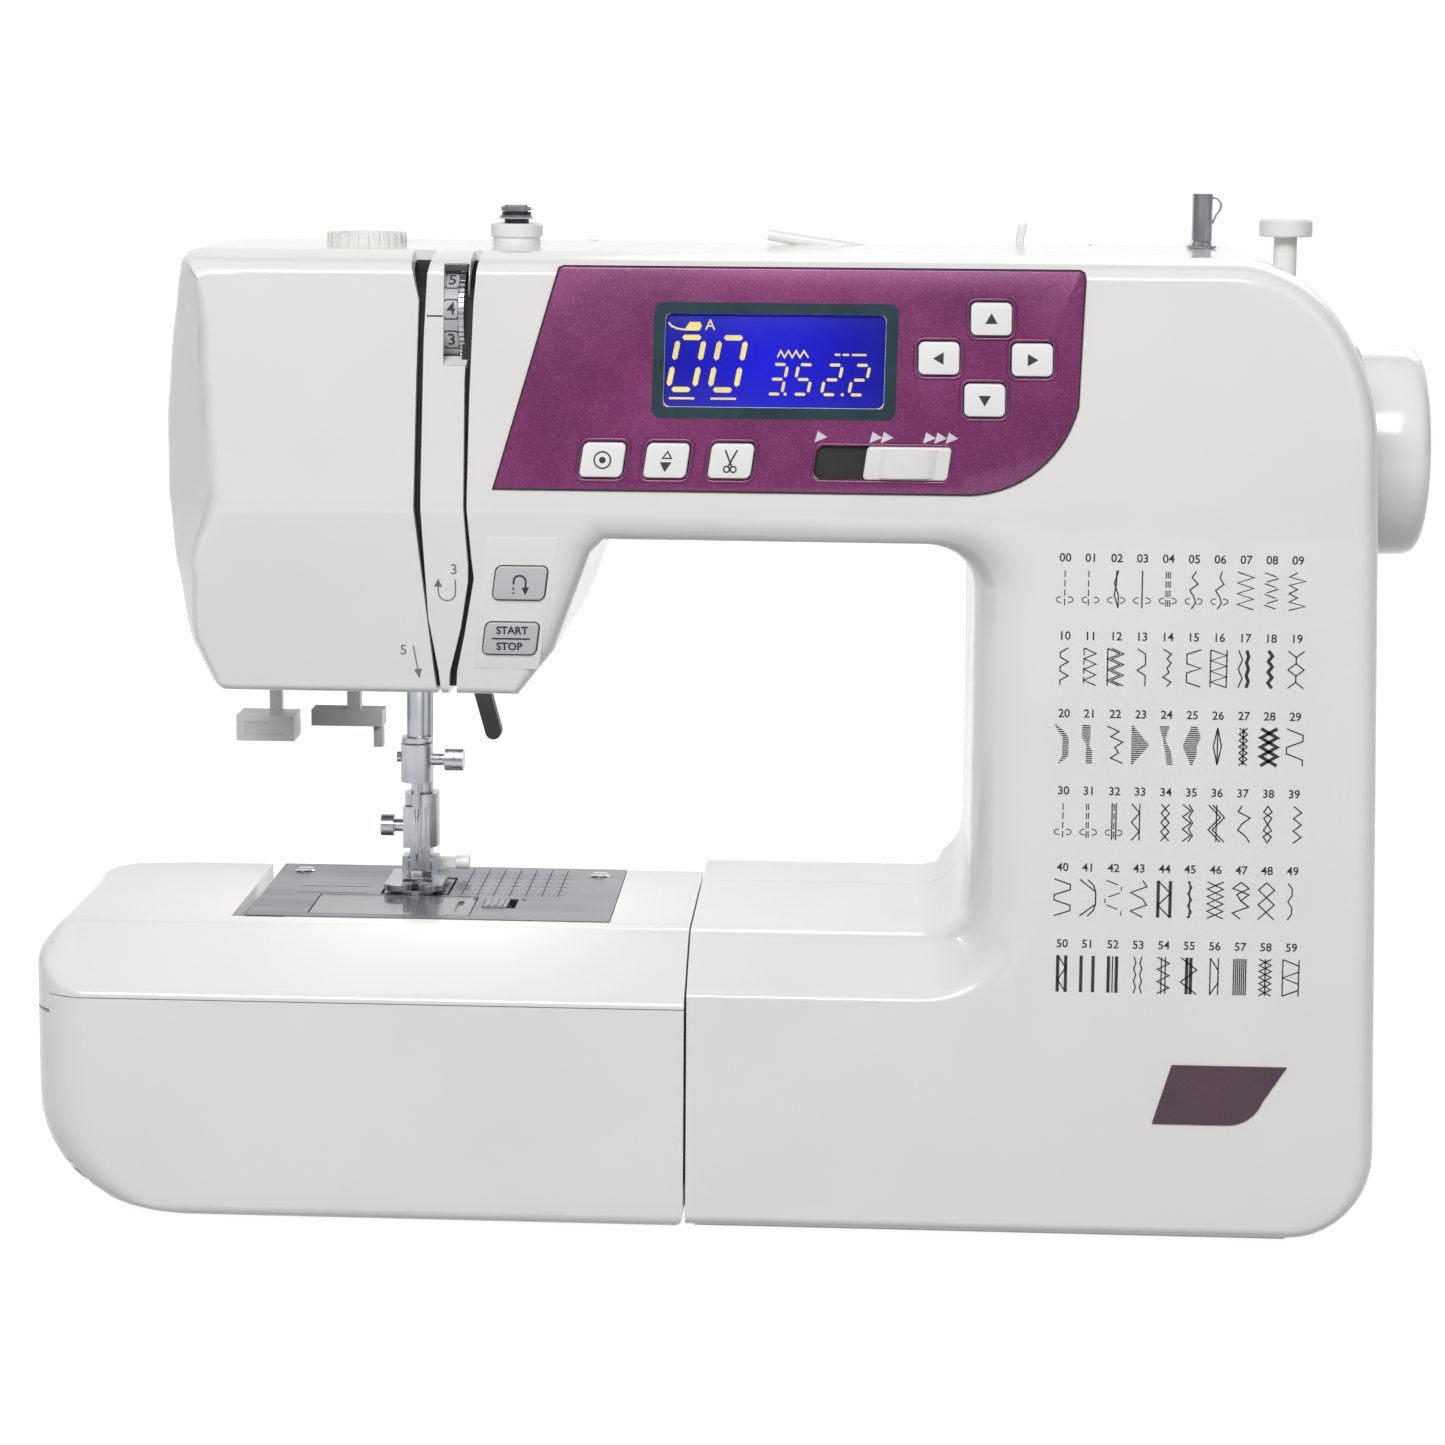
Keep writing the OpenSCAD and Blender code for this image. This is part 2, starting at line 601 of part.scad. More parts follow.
module main_shaft() {
    color("silver") {
        rod_x([-80, wheel_right - 4], shaft_depth, shaft_z, shaft_d / 2);
        // crank disc with its pin
        rod_x([-86, -79], shaft_depth, shaft_z, 17);
        rod_x([-90, -85], shaft_depth, shaft_z + 13, 2);
        // toothed pulley and the motor's belt pulley
        rod_x([belt_x, belt_x + pulley_w], shaft_depth, shaft_z, timing_r);
        rod_x([belt_x - 1, belt_x], shaft_depth, shaft_z, timing_r + 3);
        rod_x([belt_x + pulley_w, belt_x + pulley_w + 1], shaft_depth, shaft_z, timing_r + 3);
        rod_x([motor_belt_x, motor_belt_x + pulley_w], shaft_depth, shaft_z, drive_r);
        for (x = [motor_belt_x - 1, motor_belt_x + pulley_w])
            rod_x([x, x + 1], shaft_depth, shaft_z, drive_r + 3);
    }
}

module lower_shaft() {
    color("silver") {
        rod_x([-112, belt_x + pulley_w + 2], shaft_depth, lower_shaft_z, shaft_d / 2);
        rod_x([belt_x, belt_x + pulley_w], shaft_depth, lower_shaft_z, timing_r);
        for (x = [belt_x - 1, belt_x + pulley_w]) rod_x([x, x + 1], shaft_depth, lower_shaft_z, timing_r + 3);
        rod_x([hook_x - 4.5, hook_x + 4.5], shaft_depth, lower_shaft_z, lower_gear_r);
    }
}

module rotary_hook() {
    color("gainsboro") difference() {
        union() {
            rod_z(hook_x, hook_depth, [26, 62], 3);
            rod_z(hook_x, hook_depth, [lower_shaft_z - 5, lower_shaft_z + 5], hook_gear_r);
            rod_z(hook_x, hook_depth, [60, 77], 15.4);
        }
        rod_z(hook_x, hook_depth, [62, 78], 13.8);
        // slot at the hook's point
        translate([hook_x, back(hook_depth), 70]) rotate([0, 0, 20]) cube([18, 3, 8]);
    }
}

module bobbin_holder() {
    color("black") difference() {
        union() {
            rod_z(hook_x, hook_depth, [62.6, 77.4], 13.3);
            block([hook_x - 4, hook_x + 4], [hook_depth - 14.5, hook_depth - 10], [77.5, 79.5]);
            block([hook_x - 4, hook_x + 4], [hook_depth - 13, hook_depth - 10], [74, 78]);
        }
        rod_z(hook_x, hook_depth, [64.4, 78], 11.4);
        rod_z(hook_x, hook_depth, [60, 66], 2);
    }
}

module bobbin() {
    color("lightcyan") difference() {
        union() {
            for (z = [65.2, 75.6]) rod_z(hook_x, hook_depth, [z, z + 1.2], 10.25);
            rod_z(hook_x, hook_depth, [65.2, 76.8], 4.4);
        }
        rod_z(hook_x, hook_depth, [64, 78], 3);
        for (a = [0:60:300]) translate([hook_x, back(hook_depth), 64]) rotate([0, 0, a])
            translate([7.4, 0, 0]) cylinder(h = 14, r = 1);
    }
}

module needle_bar_support() {
    color("silver") difference() {
        union() {
            rod_y(needle_x, [60, 70], pivot_z, 5);
            block([needle_x - 8, needle_x + 2], [60, 70], [258, 272]);
            block([needle_x - 8, needle_x - 6], [60, 70], [160, 262]);
            for (z = [162, 248]) {
                rod_z(needle_x, needle_depth, [z, z + 12], 5);
                block([needle_x - 8, needle_x - 3], [60, 70], [z, z + 12]);
            }
        }
        rod_y(needle_x, [58, 72], pivot_z, (5 + running_fit) / 2);
        rod_z(needle_x, needle_depth, [150, 266], (needle_bar_d + running_fit) / 2);
    }
}

module needle_bar() {
    color("silver") {
        rod_z(needle_x, needle_depth, [124, 265.4], needle_bar_d / 2);
        // driving collar
        rod_z(needle_x, needle_depth, [214, 224], 5);
        // thread guide above the clamp
        rod_z(needle_x, needle_depth, [132.5, 134], 4.6);
    }
}

module needle_clamp() {
    color("gainsboro") difference() {
        union() {
            rod_z(needle_x, needle_depth, [120, 132], 4.9);
            rod_x([needle_x + 3, needle_x + 9], needle_depth, 126.8, 1.8);
            rod_x([needle_x + 9, needle_x + 14.7], needle_depth, 126.8, 3.4);
            rod_x([needle_x - 6, needle_x - 4], needle_depth, 127.5, 1.6);
        }
        rod_z(needle_x, needle_depth, [123.8, 140], needle_bar_d / 2 + 0.02);
        rod_z(needle_x, needle_depth, [118, 126], 1.05);
    }
}

module needle() {
    color("silver") {
        rod_z(needle_x, needle_depth, [111, 123.6], 1);
        translate([needle_x, back(needle_depth), 107]) cylinder(h = 4.01, r1 = 0.5, r2 = 1);
        rod_z(needle_x, needle_depth, [97, 107.01], 0.5);
        translate([needle_x, back(needle_depth), 93.4]) cylinder(h = 3.61, r1 = 0.1, r2 = 0.5);
    }
}

// Lever that pulls the thread up, drawn in its top position
module take_up_lever() {
    tip = take_up_reach * sin(45);
    color("silver") difference() {
        union() {
            rod_x(take_up_x, take_up_depth, take_up_z, 5);
            rod_x(take_up_x, take_up_depth - tip, take_up_z + tip, 5);
            along_x(take_up_x[0], take_up_x[1]) translate([take_up_depth, take_up_z]) rotate(135)
                translate([0, -2.6]) square([take_up_reach, 5.2]);
        }
        rod_x([-95, -90], take_up_depth, take_up_z, (5 + running_fit) / 2);
        rod_x([-95, -90], take_up_depth - tip, take_up_z + tip, 2.4);
    }
}

module presser_bar() {
    color("silver") {
        rod_z(needle_x, presser_depth, [99, 263], presser_bar_d / 2);
        // lifting block
        rod_z(needle_x, presser_depth, [182, 190], 5.6);
    }
}

module foot_holder() {
    color("gainsboro") difference() {
        union() {
            rod_z(needle_x, presser_depth, [97, 114], 5.4);
            block([needle_x - 5.4, needle_x + 3], [71.8, 77], [97, 110]);
            block([needle_x - 3.2, needle_x + 3.2], [71.8, 80], [89.6, 98]);
            // thumb screw at the left
            rod_x([needle_x - 8.5, needle_x - 4], presser_depth - 2, 103.6, 2);
            rod_x([needle_x - 12.5, needle_x - 8.5], presser_depth - 2, 103.6, 3.4);
        }
        rod_z(needle_x, presser_depth, [99, 115], presser_bar_d / 2 + 0.02);
        rod_x([needle_x - 4, needle_x + 4], 74, 92.4, (2.6 + running_fit) / 2);
    }
}

module presser_foot() {
    sole = [bed_top + 1.3, bed_top + 3.1];
    color("silver") difference() {
        union() {
            block([needle_x - 9.6, needle_x + 8.4], [60, 81], sole);
            for (x = [needle_x - 5.2, needle_x + 4]) rod_z(x, 62.6, sole, 4.4);
            for (x = [needle_x - 5.6, needle_x + 3.6]) block([x, x + 2], [71.2, 77], [sole[1] - 0.2, 94.4]);
            rod_x([needle_x - 5.6, needle_x + 5.6], 74, 92.4, 1.3);
        }
        block([needle_x - 4.6, needle_x + 4.6], [63.6, 67.4], [bed_top, bed_top + 4]);
        block([needle_x - 1.2, needle_x + 1.2], [56, 64], [bed_top, bed_top + 4]);
    }
}

module foot_lever() {
    color("black") difference() {
        union() {
            block([needle_x - 1, needle_x + 11], [82, 85], [88.6, 91.4]);
            rod_x([needle_x + 10, needle_x + 14], 83.5, 90, 2.2);
        }
        rod_x([needle_x - 2, needle_x + 9], 83.5, 90, 0.6);
    }
}

module presser_lifter() {
    color("black") difference() {
        union() {
            rod_y(lifter_x, [97.3, 101.7], lifter_z, 6);
            translate([lifter_x, back(101.7), lifter_z]) rotate([90, 0, 0]) rotate([0, 0, -74.6])
                linear_extrude(4.4) translate([0, -2.6]) square([40, 5.2]);
            translate([lifter_x, back(101.7), lifter_z]) rotate([90, 0, 0]) rotate([0, 0, -74.6])
                linear_extrude(4.4) translate([40, 0]) circle(2.6);
        }
        rod_y(lifter_x, [96, 103], lifter_z, (5 + running_fit) / 2);
    }
}

module feed_bar() {
    color("gray") {
        block([needle_x - 22, needle_x + 22], [83, 91], [62, 69]);
        block([needle_x - 10, needle_x + 10], [72, 83.5], [62, 69]);
        for (x = [needle_x - 20, needle_x + 17]) block([x, x + 3], [84, 90], [35, 63]);
    }
}

module feed_dog() {
    top = bed_top + 0.15;
    color("silver") {
        block([needle_x - 10, needle_x + 10], [72.5, 80.5], [73.2, 79]);
        block([needle_x - 2, needle_x + 2], [72.5, 80.5], [79, top]);
        for (x = [needle_x - 8.2, needle_x + 8.2]) difference() {
            union() {
                block([x - 1.7, x + 1.7], [72.5, 80.5], [78, top]);
                block([x - 1.7, x + 1.7], [61, 73], [81.7, top]);
            }
            for (k = [0:9]) block([x - 3, x + 3], [61.6 + 2 * k, 62.3 + 2 * k], [top - 0.6, top + 1]);
        }
    }
}

// Outline of the extension table seen from the front, drawn in by i
function table_outline(i) = concat(
    [[table_seam - 0.4 - i, table_z + i], [table_seam - 0.4 - i, bed_top - i]],
    arc([table_left + 16, bed_top - 9], 9 - i, 90, 140, 6),
    arc([table_left + 8, 66], 8 - i, 165, 180, 3),
    arc([table_left + 34, table_z + 34], 34 - i, 180, 270, 14));

function table_profile(i) = concat([[free_arm_depth - i, table_z + i], [free_arm_depth - i, bed_top - i],
    [bed_slant_depth + i / 2, bed_top - i], [i, bed_slant_z - i / 2]],
    arc([4, table_z + 4], 4 - i, 180, 270, 5));

// Room of the lid: the whole front panel, which wraps round the left corner
module lid_space(g) {
    block([table_left - 1, table_seam + 1], [-1, 4.6 + g], [-1, lid_top + g]);
    block([table_left - 1, table_seam + 1], [-1, 14 + g], [16 - g, lid_top - 6 + 4 * g]);
}

module table_solid(i) {
    intersection() {
        along_y(i, free_arm_depth - i) polygon(table_outline(i));
        along_x(table_left, table_seam) polygon(table_profile(i));
        linear_extrude(bed_top + 1) polygon(concat(
            [[table_seam, back(i)], [table_seam, back(free_arm_depth - i)]],
            arc2([table_left + 14, back(free_arm_depth - 30)], 14 - i, 30 - i, 90, 180),
            arc([table_left + 18, back(18)], 18 - i, 180, 270)));
    }
}

module extension_table() {
    color("whitesmoke") difference() {
        table_solid(0);
        // storage space in front of the free arm and the hollow left end
        difference() {
            table_solid(wall);
            block([free_arm_left - 5.3, 0], [27.2, 100], [0, bed_top + 1]);
        }
        // notch for the free arm and the ledge under it
        block([free_arm_left - 2.6, 0], [29.8, 100], [-1, bed_top + 1]);
        lid_space(0.3);
        rod_x([table_left - 1, table_seam + 1], lid_hinge_depth, lid_hinge_z, 6.3);
        block([table_left, -150], [40, 80], [-1, 5]);
    }
    // hinge brackets of the lid
    for (x = [-150, -60]) color("whitesmoke") difference() {
        hull() {
            rod_x([x - 3, x + 3], lid_hinge_depth, lid_hinge_z, 3.4);
            block([x - 3, x + 3], [11.6, 14], [1.2, 11]);
        }
        rod_x([x - 4, x + 4], lid_hinge_depth, lid_hinge_z, (3 + running_fit) / 2);
    }
}

module table_lid() {
    color("whitesmoke") difference() {
        intersection() {
            difference() {
                table_solid(0);
                table_solid(2.4);
            }
            lid_space(0);
        }
        for (x = [-150, -60]) block([x - 3.4, x + 3.4], [0.8, 6], [0.9, 11]);
    }
    // hinge eyes and pins
    for (x = [-150, -60]) color("whitesmoke") {
        for (s = [-1, 1]) {
            block([x + s * 6 - 2.5, x + s * 6 + 2.5], [1, lid_hinge_depth],
                [lid_hinge_z - 3, lid_hinge_z + 3]);
            rod_x([x + s * 6 - 2.5, x + s * 6 + 2.5], lid_hinge_depth, lid_hinge_z, 3);
        }
        rod_x([x - 6, x + 6], lid_hinge_depth, lid_hinge_z, 1.5);
    }
    // stiffening ribs and the catch
    color("whitesmoke") {
        for (x = [-130, -105, -80]) block([x, x + 1.6], [2, 5], [14, lid_top - 3]);
        block([-110, -98], [2, 6], [lid_top - 8, lid_top - 5]);
    }
}

module bobbin_cover() {
    color("lightcyan") difference() {
        block([hook_x - 24.4, hook_x + 24.2], [34.6, 57.6], [bed_top - plate_t, bed_top + 0.2]);
        block([hook_x + 19, hook_x + 21], [40, 52], [bed_top - 0.4, bed_top + 1]);
    }
}

module cover_release_button() {
    color("dimgray") {
        block([-76.2, -69], [45, 55], [bed_top - 4, bed_top + 0.6]);
        for (x = [-75, -73, -71]) block([x, x + 0.8], [45.6, 54.4], [bed_top + 0.5, bed_top + 1]);
    }
}

module tension_dial() {
    color("silver") difference() {
        union() {
            rod_x([dial_x0, dial_x1], dial_depth, dial_z, dial_r - 0.6);
            rod_x([dial_x1 - 1.8, dial_x1], dial_depth, dial_z, dial_r);
        }
        rod_x([dial_x0 - 1, dial_x1 + 1], dial_depth, dial_z, (5 + running_fit) / 2);
        for (a = [0:15:345]) translate([dial_x1 - 1.8, back(dial_depth), dial_z]) rotate([a, 0, 0])
            translate([-0.1, -0.5, dial_r - 0.7]) cube([2, 1, 2]);
    }
}

module pressure_dial() {
    color("whitesmoke") translate([pressure_x, back(pressure_depth), arm_top - 3.6]) difference() {
        union() {
            cylinder(h = 7, r = 12);
            translate([0, 0, -6]) cylinder(h = 7, r = 4);
        }
        for (a = [0:15:345]) rotate([0, 0, a]) translate([11.2, -0.8, 1]) cube([3, 1.6, 7]);
        translate([0, 0, 5.8]) cylinder(h = 2, r = 8);
    }
}

module top_guides() {
    color("gainsboro") {
        // winding tension guide
        rod_z(-67.3, 60, [arm_top - 2, 289], 7);
        rod_z(-67.3, 60, [289, 293], 7.8);
        rod_z(-67.3, 60, [293, 294.6], 3.7);
        rod_z(-67.3, 60, [294.6, 295.4], 5.5);
        rod_z(-67.3, 60, [295.4, 296.4], 3.7);
        rod_z(-67.3, 60, [296.4, 298.6], 5);
        // upright thread hook
        block([83.6, 86], [88.4, 91], [arm_top - 2, 291.8]);
        block([84.6, 87.2], [88.4, 91], [290.4, 293.2]);
        // winder stopper
        rod_z(stopper_x, winder_depth, [273, 290.6], 3.5);
        rod_z(stopper_x, winder_depth, [290.4, 295.6], 8);
    }
}

module spool_pin() {
    color("whitesmoke") translate([spool_hinge_x, back(spool_depth), spool_hinge_z]) difference() {
        union() {
            rotate([0, 8.5, 0]) rotate([0, -90, 0]) cylinder(h = 36.5, r = 1.8);
            rotate([90, 0, 0]) translate([0, 0, -2.2]) cylinder(h = 4.4, r = 2.4);
            for (s = [-1, 1]) translate([0, s * 2.3, 0]) rotate([90, 0, 0])
                cylinder(h = 0.5, r = 1.4, center = true);
        }
        rotate([90, 0, 0]) cylinder(h = 8, r = 0.6, center = true);
    }
}

module winder_arm() {
    color("silver") difference() {
        union() {
            block([winder_x - 12, winder_x + 6], [winder_depth - 6, winder_depth + 6], [264, 268]);
            rod_z(winder_x, winder_depth, [264, 282], 4.2);
        }
        rod_z(winder_x, winder_depth, [260, 283], (5 + running_fit) / 2);
    }
}

module winder_spindle() {
    color("silver") difference() {
        union() {
            rod_z(winder_x, winder_depth, [258, 284], 2.5);
            rod_z(winder_x, winder_depth, [257, 263.4], 7);
            rod_z(winder_x, winder_depth, [282.4, 287.2], 4.1);
            rod_z(winder_x, winder_depth, [287.2, 303.1], 3.1);
        }
        // seat of the spring clip that holds the bobbin
        block([winder_x + 2.5, winder_x + 4], [winder_depth - 0.5, winder_depth + 0.5], [289, 301]);
    }
}

module carrying_handle() {
    color("whitesmoke") difference() {
        union() {
            for (x = [handle_x0, handle_x1 - 8]) {
                block([x, x + 8], [handle_hinge_depth, handle_hinge_depth + handle_reach],
                    [handle_hinge_z - 4, handle_hinge_z + 4]);
                rod_x([x, x + 8], handle_hinge_depth, handle_hinge_z, 4);
            }
            rod_x([handle_x0 - 5, handle_x1 + 5], handle_hinge_depth, handle_hinge_z, 1.8);
            block([handle_x0, handle_x1],
                [handle_hinge_depth + handle_reach - 8, handle_hinge_depth + handle_reach],
                [handle_hinge_z - 4, handle_hinge_z + 4]);
        }
        rod_x([handle_x0 + 8, handle_x1 - 8], handle_hinge_depth, handle_hinge_z, 2);
    }
}

// A key with a round-cornered cap, its stem reaching to the circuit board
module key(w, h) {
    translate([0, 0, -3]) linear_extrude(3 + button_rise) round_rect(w, h, 1.6);
    translate([0, 0, -7]) linear_extrude(4.5) square([w / 2, h / 2], center = true);
}

module arrow_key(k) color("white") on_upper(k[1], k[2]) key(arrow_w, arrow_h);

module function_key(x) color("white") on_upper(x, function_key_z) key(function_w, function_h);

module up_button() arrow_key(arrow_keys[0]);
module left_button() arrow_key(arrow_keys[1]);
module right_button() arrow_key(arrow_keys[2]);
module down_button() arrow_key(arrow_keys[3]);
module needle_stop_button() function_key(function_keys[0]);
module needle_position_button() function_key(function_keys[1]);
module thread_cutter_button() function_key(function_keys[2]);

module reverse_button() color("darkgray") on_lower(reverse_x, reverse_z) key(14.8, 9.6);
module start_stop_button() color("darkgray") on_lower(start_x, start_z) key(15.8, 9.2);

module speed_slider() {
    color("white") on_upper(slider_slot[1] - slider_w / 2, slider_z) {
        translate([0, 0, -4]) linear_extrude(4 + slider_rise) round_rect(slider_w, slider_h - 0.6, 2);
        translate([0, 0, -7]) linear_extrude(4) square([8, slider_h + 4], center = true);
    }
}

module circuit_board() {
    color("darkgreen") {
        on_upper(0, crease_z) translate([-44, 6, -13]) cube([150, 60, 1.6]);
        for (k = arrow_keys) on_upper(k[1], k[2]) translate([-3, -3, -11.5]) cube([6, 6, 3]);
        for (x = function_keys) on_upper(x, function_key_z) translate([-3, -3, -11.5]) cube([6, 6, 3]);
        // power board with its transformer
        block([30, 92], [18, 26], [base_z + 3.2, 66]);
        block([48, 76], [26.2, 29.6], [32, 60]);
    }
}

module power_inlet() {
    color("black") difference() {
        union() {
            block([switch_x - 20, switch_x - 2], [inlet_depth - 10, inlet_depth + 10],
                [inlet_z - 8, inlet_z + 8]);
            block([switch_x - 4, switch_x - 0.1], [inlet_depth - 9.8, inlet_depth + 9.8],
                [inlet_z - 7.8, inlet_z + 7.8]);
        }
        block([switch_x - 16, switch_x + 1], [inlet_depth - 7, inlet_depth + 7],
            [inlet_z - 5, inlet_z + 5]);
    }
}

module power_switch() {
    color("black") difference() {
        union() {
            block([switch_x - 6, switch_x + 1.4], [switch_depth - 7.6, switch_depth + 7.6],
                [switch_z - 8.6, switch_z + 8.6]);
            rod_y(switch_x - 4.8, [switch_depth - 7, switch_depth + 7], switch_z, 3);
        }
        translate([switch_x + 1.6, back(switch_depth - 9), switch_z]) rotate([0, -12, 0]) cube([8, 18, 14]);
        rod_y(switch_x - 4.8, [switch_depth - 9, switch_depth + 9], switch_z, 1);
    }
}

module buttonhole_lever() {
    color("lightgray") difference() {
        union() {
            block([-146.7, -142.9], [73.4, 76.6], [133, 232]);
            block([-155.8, -137.8], [66, 78], [131.5, 139.5]);
        }
        translate([-147, back(65), 135.5]) cube([12, 3, 4], center = true);
    }
}

module needle_threader() {
    color("lightgray") {
        block([-120, -116], [60, 64], [139, 228]);
        block([-131, -109], [59, 67], [138, 143]);
        block([-112.2, -109.4], [62, 66], [131, 138.5]);
    }
}

module drop_feed_lever() {
    color("lightgray") {
        block([-95.6, -90.6], [free_arm_depth - 5, free_arm_depth + 2.6], [48.4, 51.6]);
        block([-95.6, -90.6], [free_arm_depth - 5.3, free_arm_depth - 3.5], [42, 58]);
    }
}

front_cover();
rear_cover();
base_plate();
chassis();
free_arm_cover();
needle_plate();
control_panel();
lcd_screen();
badge_plate();
led_lamp();
motor();
circuit_board();
power_inlet();
cover_screws();
rubber_feet();
top_guides();
bobbin_holder();
timing_belts();
handwheel();
main_shaft();
motor_pulley();
lower_shaft();
rotary_hook();
bobbin();
needle_bar_support();
needle_bar();
needle_clamp();
needle();
take_up_lever();
presser_bar();
foot_holder();
presser_foot();
foot_lever();
presser_lifter();
feed_bar();
feed_dog();
extension_table();
table_lid();
bobbin_cover();
cover_release_button();
tension_dial();
pressure_dial();
spool_pin();
winder_arm();
winder_spindle();
carrying_handle();
up_button();
left_button();
right_button();
down_button();
needle_stop_button();
needle_position_button();
thread_cutter_button();
reverse_button();
start_stop_button();
speed_slider();
power_switch();
buttonhole_lever();
needle_threader();
drop_feed_lever();
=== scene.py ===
"""A household sewing machine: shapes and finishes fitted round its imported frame."""
import logging
import math
from dataclasses import dataclass, field
from enum import Enum
from typing import Callable, Optional, Sequence

import bmesh
import bpy
from bmesh.types import BMesh
from mathutils import Matrix, Vector


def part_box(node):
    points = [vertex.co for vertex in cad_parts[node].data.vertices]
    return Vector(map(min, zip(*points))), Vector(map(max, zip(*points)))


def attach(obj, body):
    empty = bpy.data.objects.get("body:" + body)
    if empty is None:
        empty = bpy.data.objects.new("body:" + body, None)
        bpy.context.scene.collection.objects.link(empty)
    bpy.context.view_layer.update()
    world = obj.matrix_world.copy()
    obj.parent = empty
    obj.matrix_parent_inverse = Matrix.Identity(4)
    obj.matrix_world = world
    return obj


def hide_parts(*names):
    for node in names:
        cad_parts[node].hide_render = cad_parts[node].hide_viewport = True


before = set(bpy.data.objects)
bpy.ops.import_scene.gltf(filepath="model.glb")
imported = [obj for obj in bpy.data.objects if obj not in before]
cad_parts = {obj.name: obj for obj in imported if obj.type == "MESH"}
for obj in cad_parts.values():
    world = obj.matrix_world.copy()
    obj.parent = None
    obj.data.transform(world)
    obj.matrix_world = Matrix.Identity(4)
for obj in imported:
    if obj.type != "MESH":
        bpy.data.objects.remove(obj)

LOG = logging.getLogger("sewing_machine")
MM = 0.001
# Height of a print in millimetres: real ink is thinner, and this much keeps it clear of its ground.
INK_HIGH = 0.05
# Edges sharper than this stay sharp in the shading.
CREASE_DEG = 32.0
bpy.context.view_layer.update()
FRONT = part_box("front_cover")[0][1]

Spot = tuple[float, float]
Triple = tuple[float, float, float]
Flat = Sequence[Spot]
Path = list[Spot]
Place = Callable[[float, float, float], Vector]


def at(x: float, depth: float, z: float) -> Vector:
    """Give the point at x, z and a depth behind the front plane, all in millimetres."""
    return Vector((x * MM, FRONT + depth * MM, z * MM))


def linear(code: str) -> tuple[float, float, float, float]:
    """Turn an sRGB hex colour into linear RGBA.

    Args:
        code: Six hex digits.

    Returns:
        The linear colour with full alpha.
    """
    parts = [int(code[i:i + 2], 16) / 255 for i in (0, 2, 4)]
    lin = [c / 12.92 if c <= 0.04045 else ((c + 0.055) / 1.055) ** 2.4 for c in parts]
    return (lin[0], lin[1], lin[2], 1.0)


def smooth(t: float) -> float:
    """Ease t from 0 to 1 with level ends."""
    t = min(max(t, 0.0), 1.0)
    return t * t * (3 - 2 * t)


# ---------------------------------------------------------------- finishes


def add(tree: bpy.types.NodeTree, kind: str, inputs: Optional[dict] = None, **settings) -> bpy.types.Node:
    """Add one shader node.

    Args:
        tree: The node tree that gets the node.
        kind: The node's type without its ShaderNode prefix.
        inputs: Socket name or index to a value, or to the output that feeds it.
        **settings: The node's own properties.

    Returns:
        The new node.
    """
    node = tree.nodes.new("ShaderNode" + kind)
    for key, value in settings.items():
        setattr(node, key, value)
    for key, value in (inputs or {}).items():
        if isinstance(value, bpy.types.NodeSocket):
            tree.links.new(value, node.inputs[key])
        else:
            node.inputs[key].default_value = value
    return node


class Grain(Enum):
    """How a surface's fine relief runs."""
    EVEN = (1.0, 1.0, 1.0)
    ALONG_X = (0.02, 1.0, 1.0)
    ALONG_Z = (1.0, 1.0, 0.02)


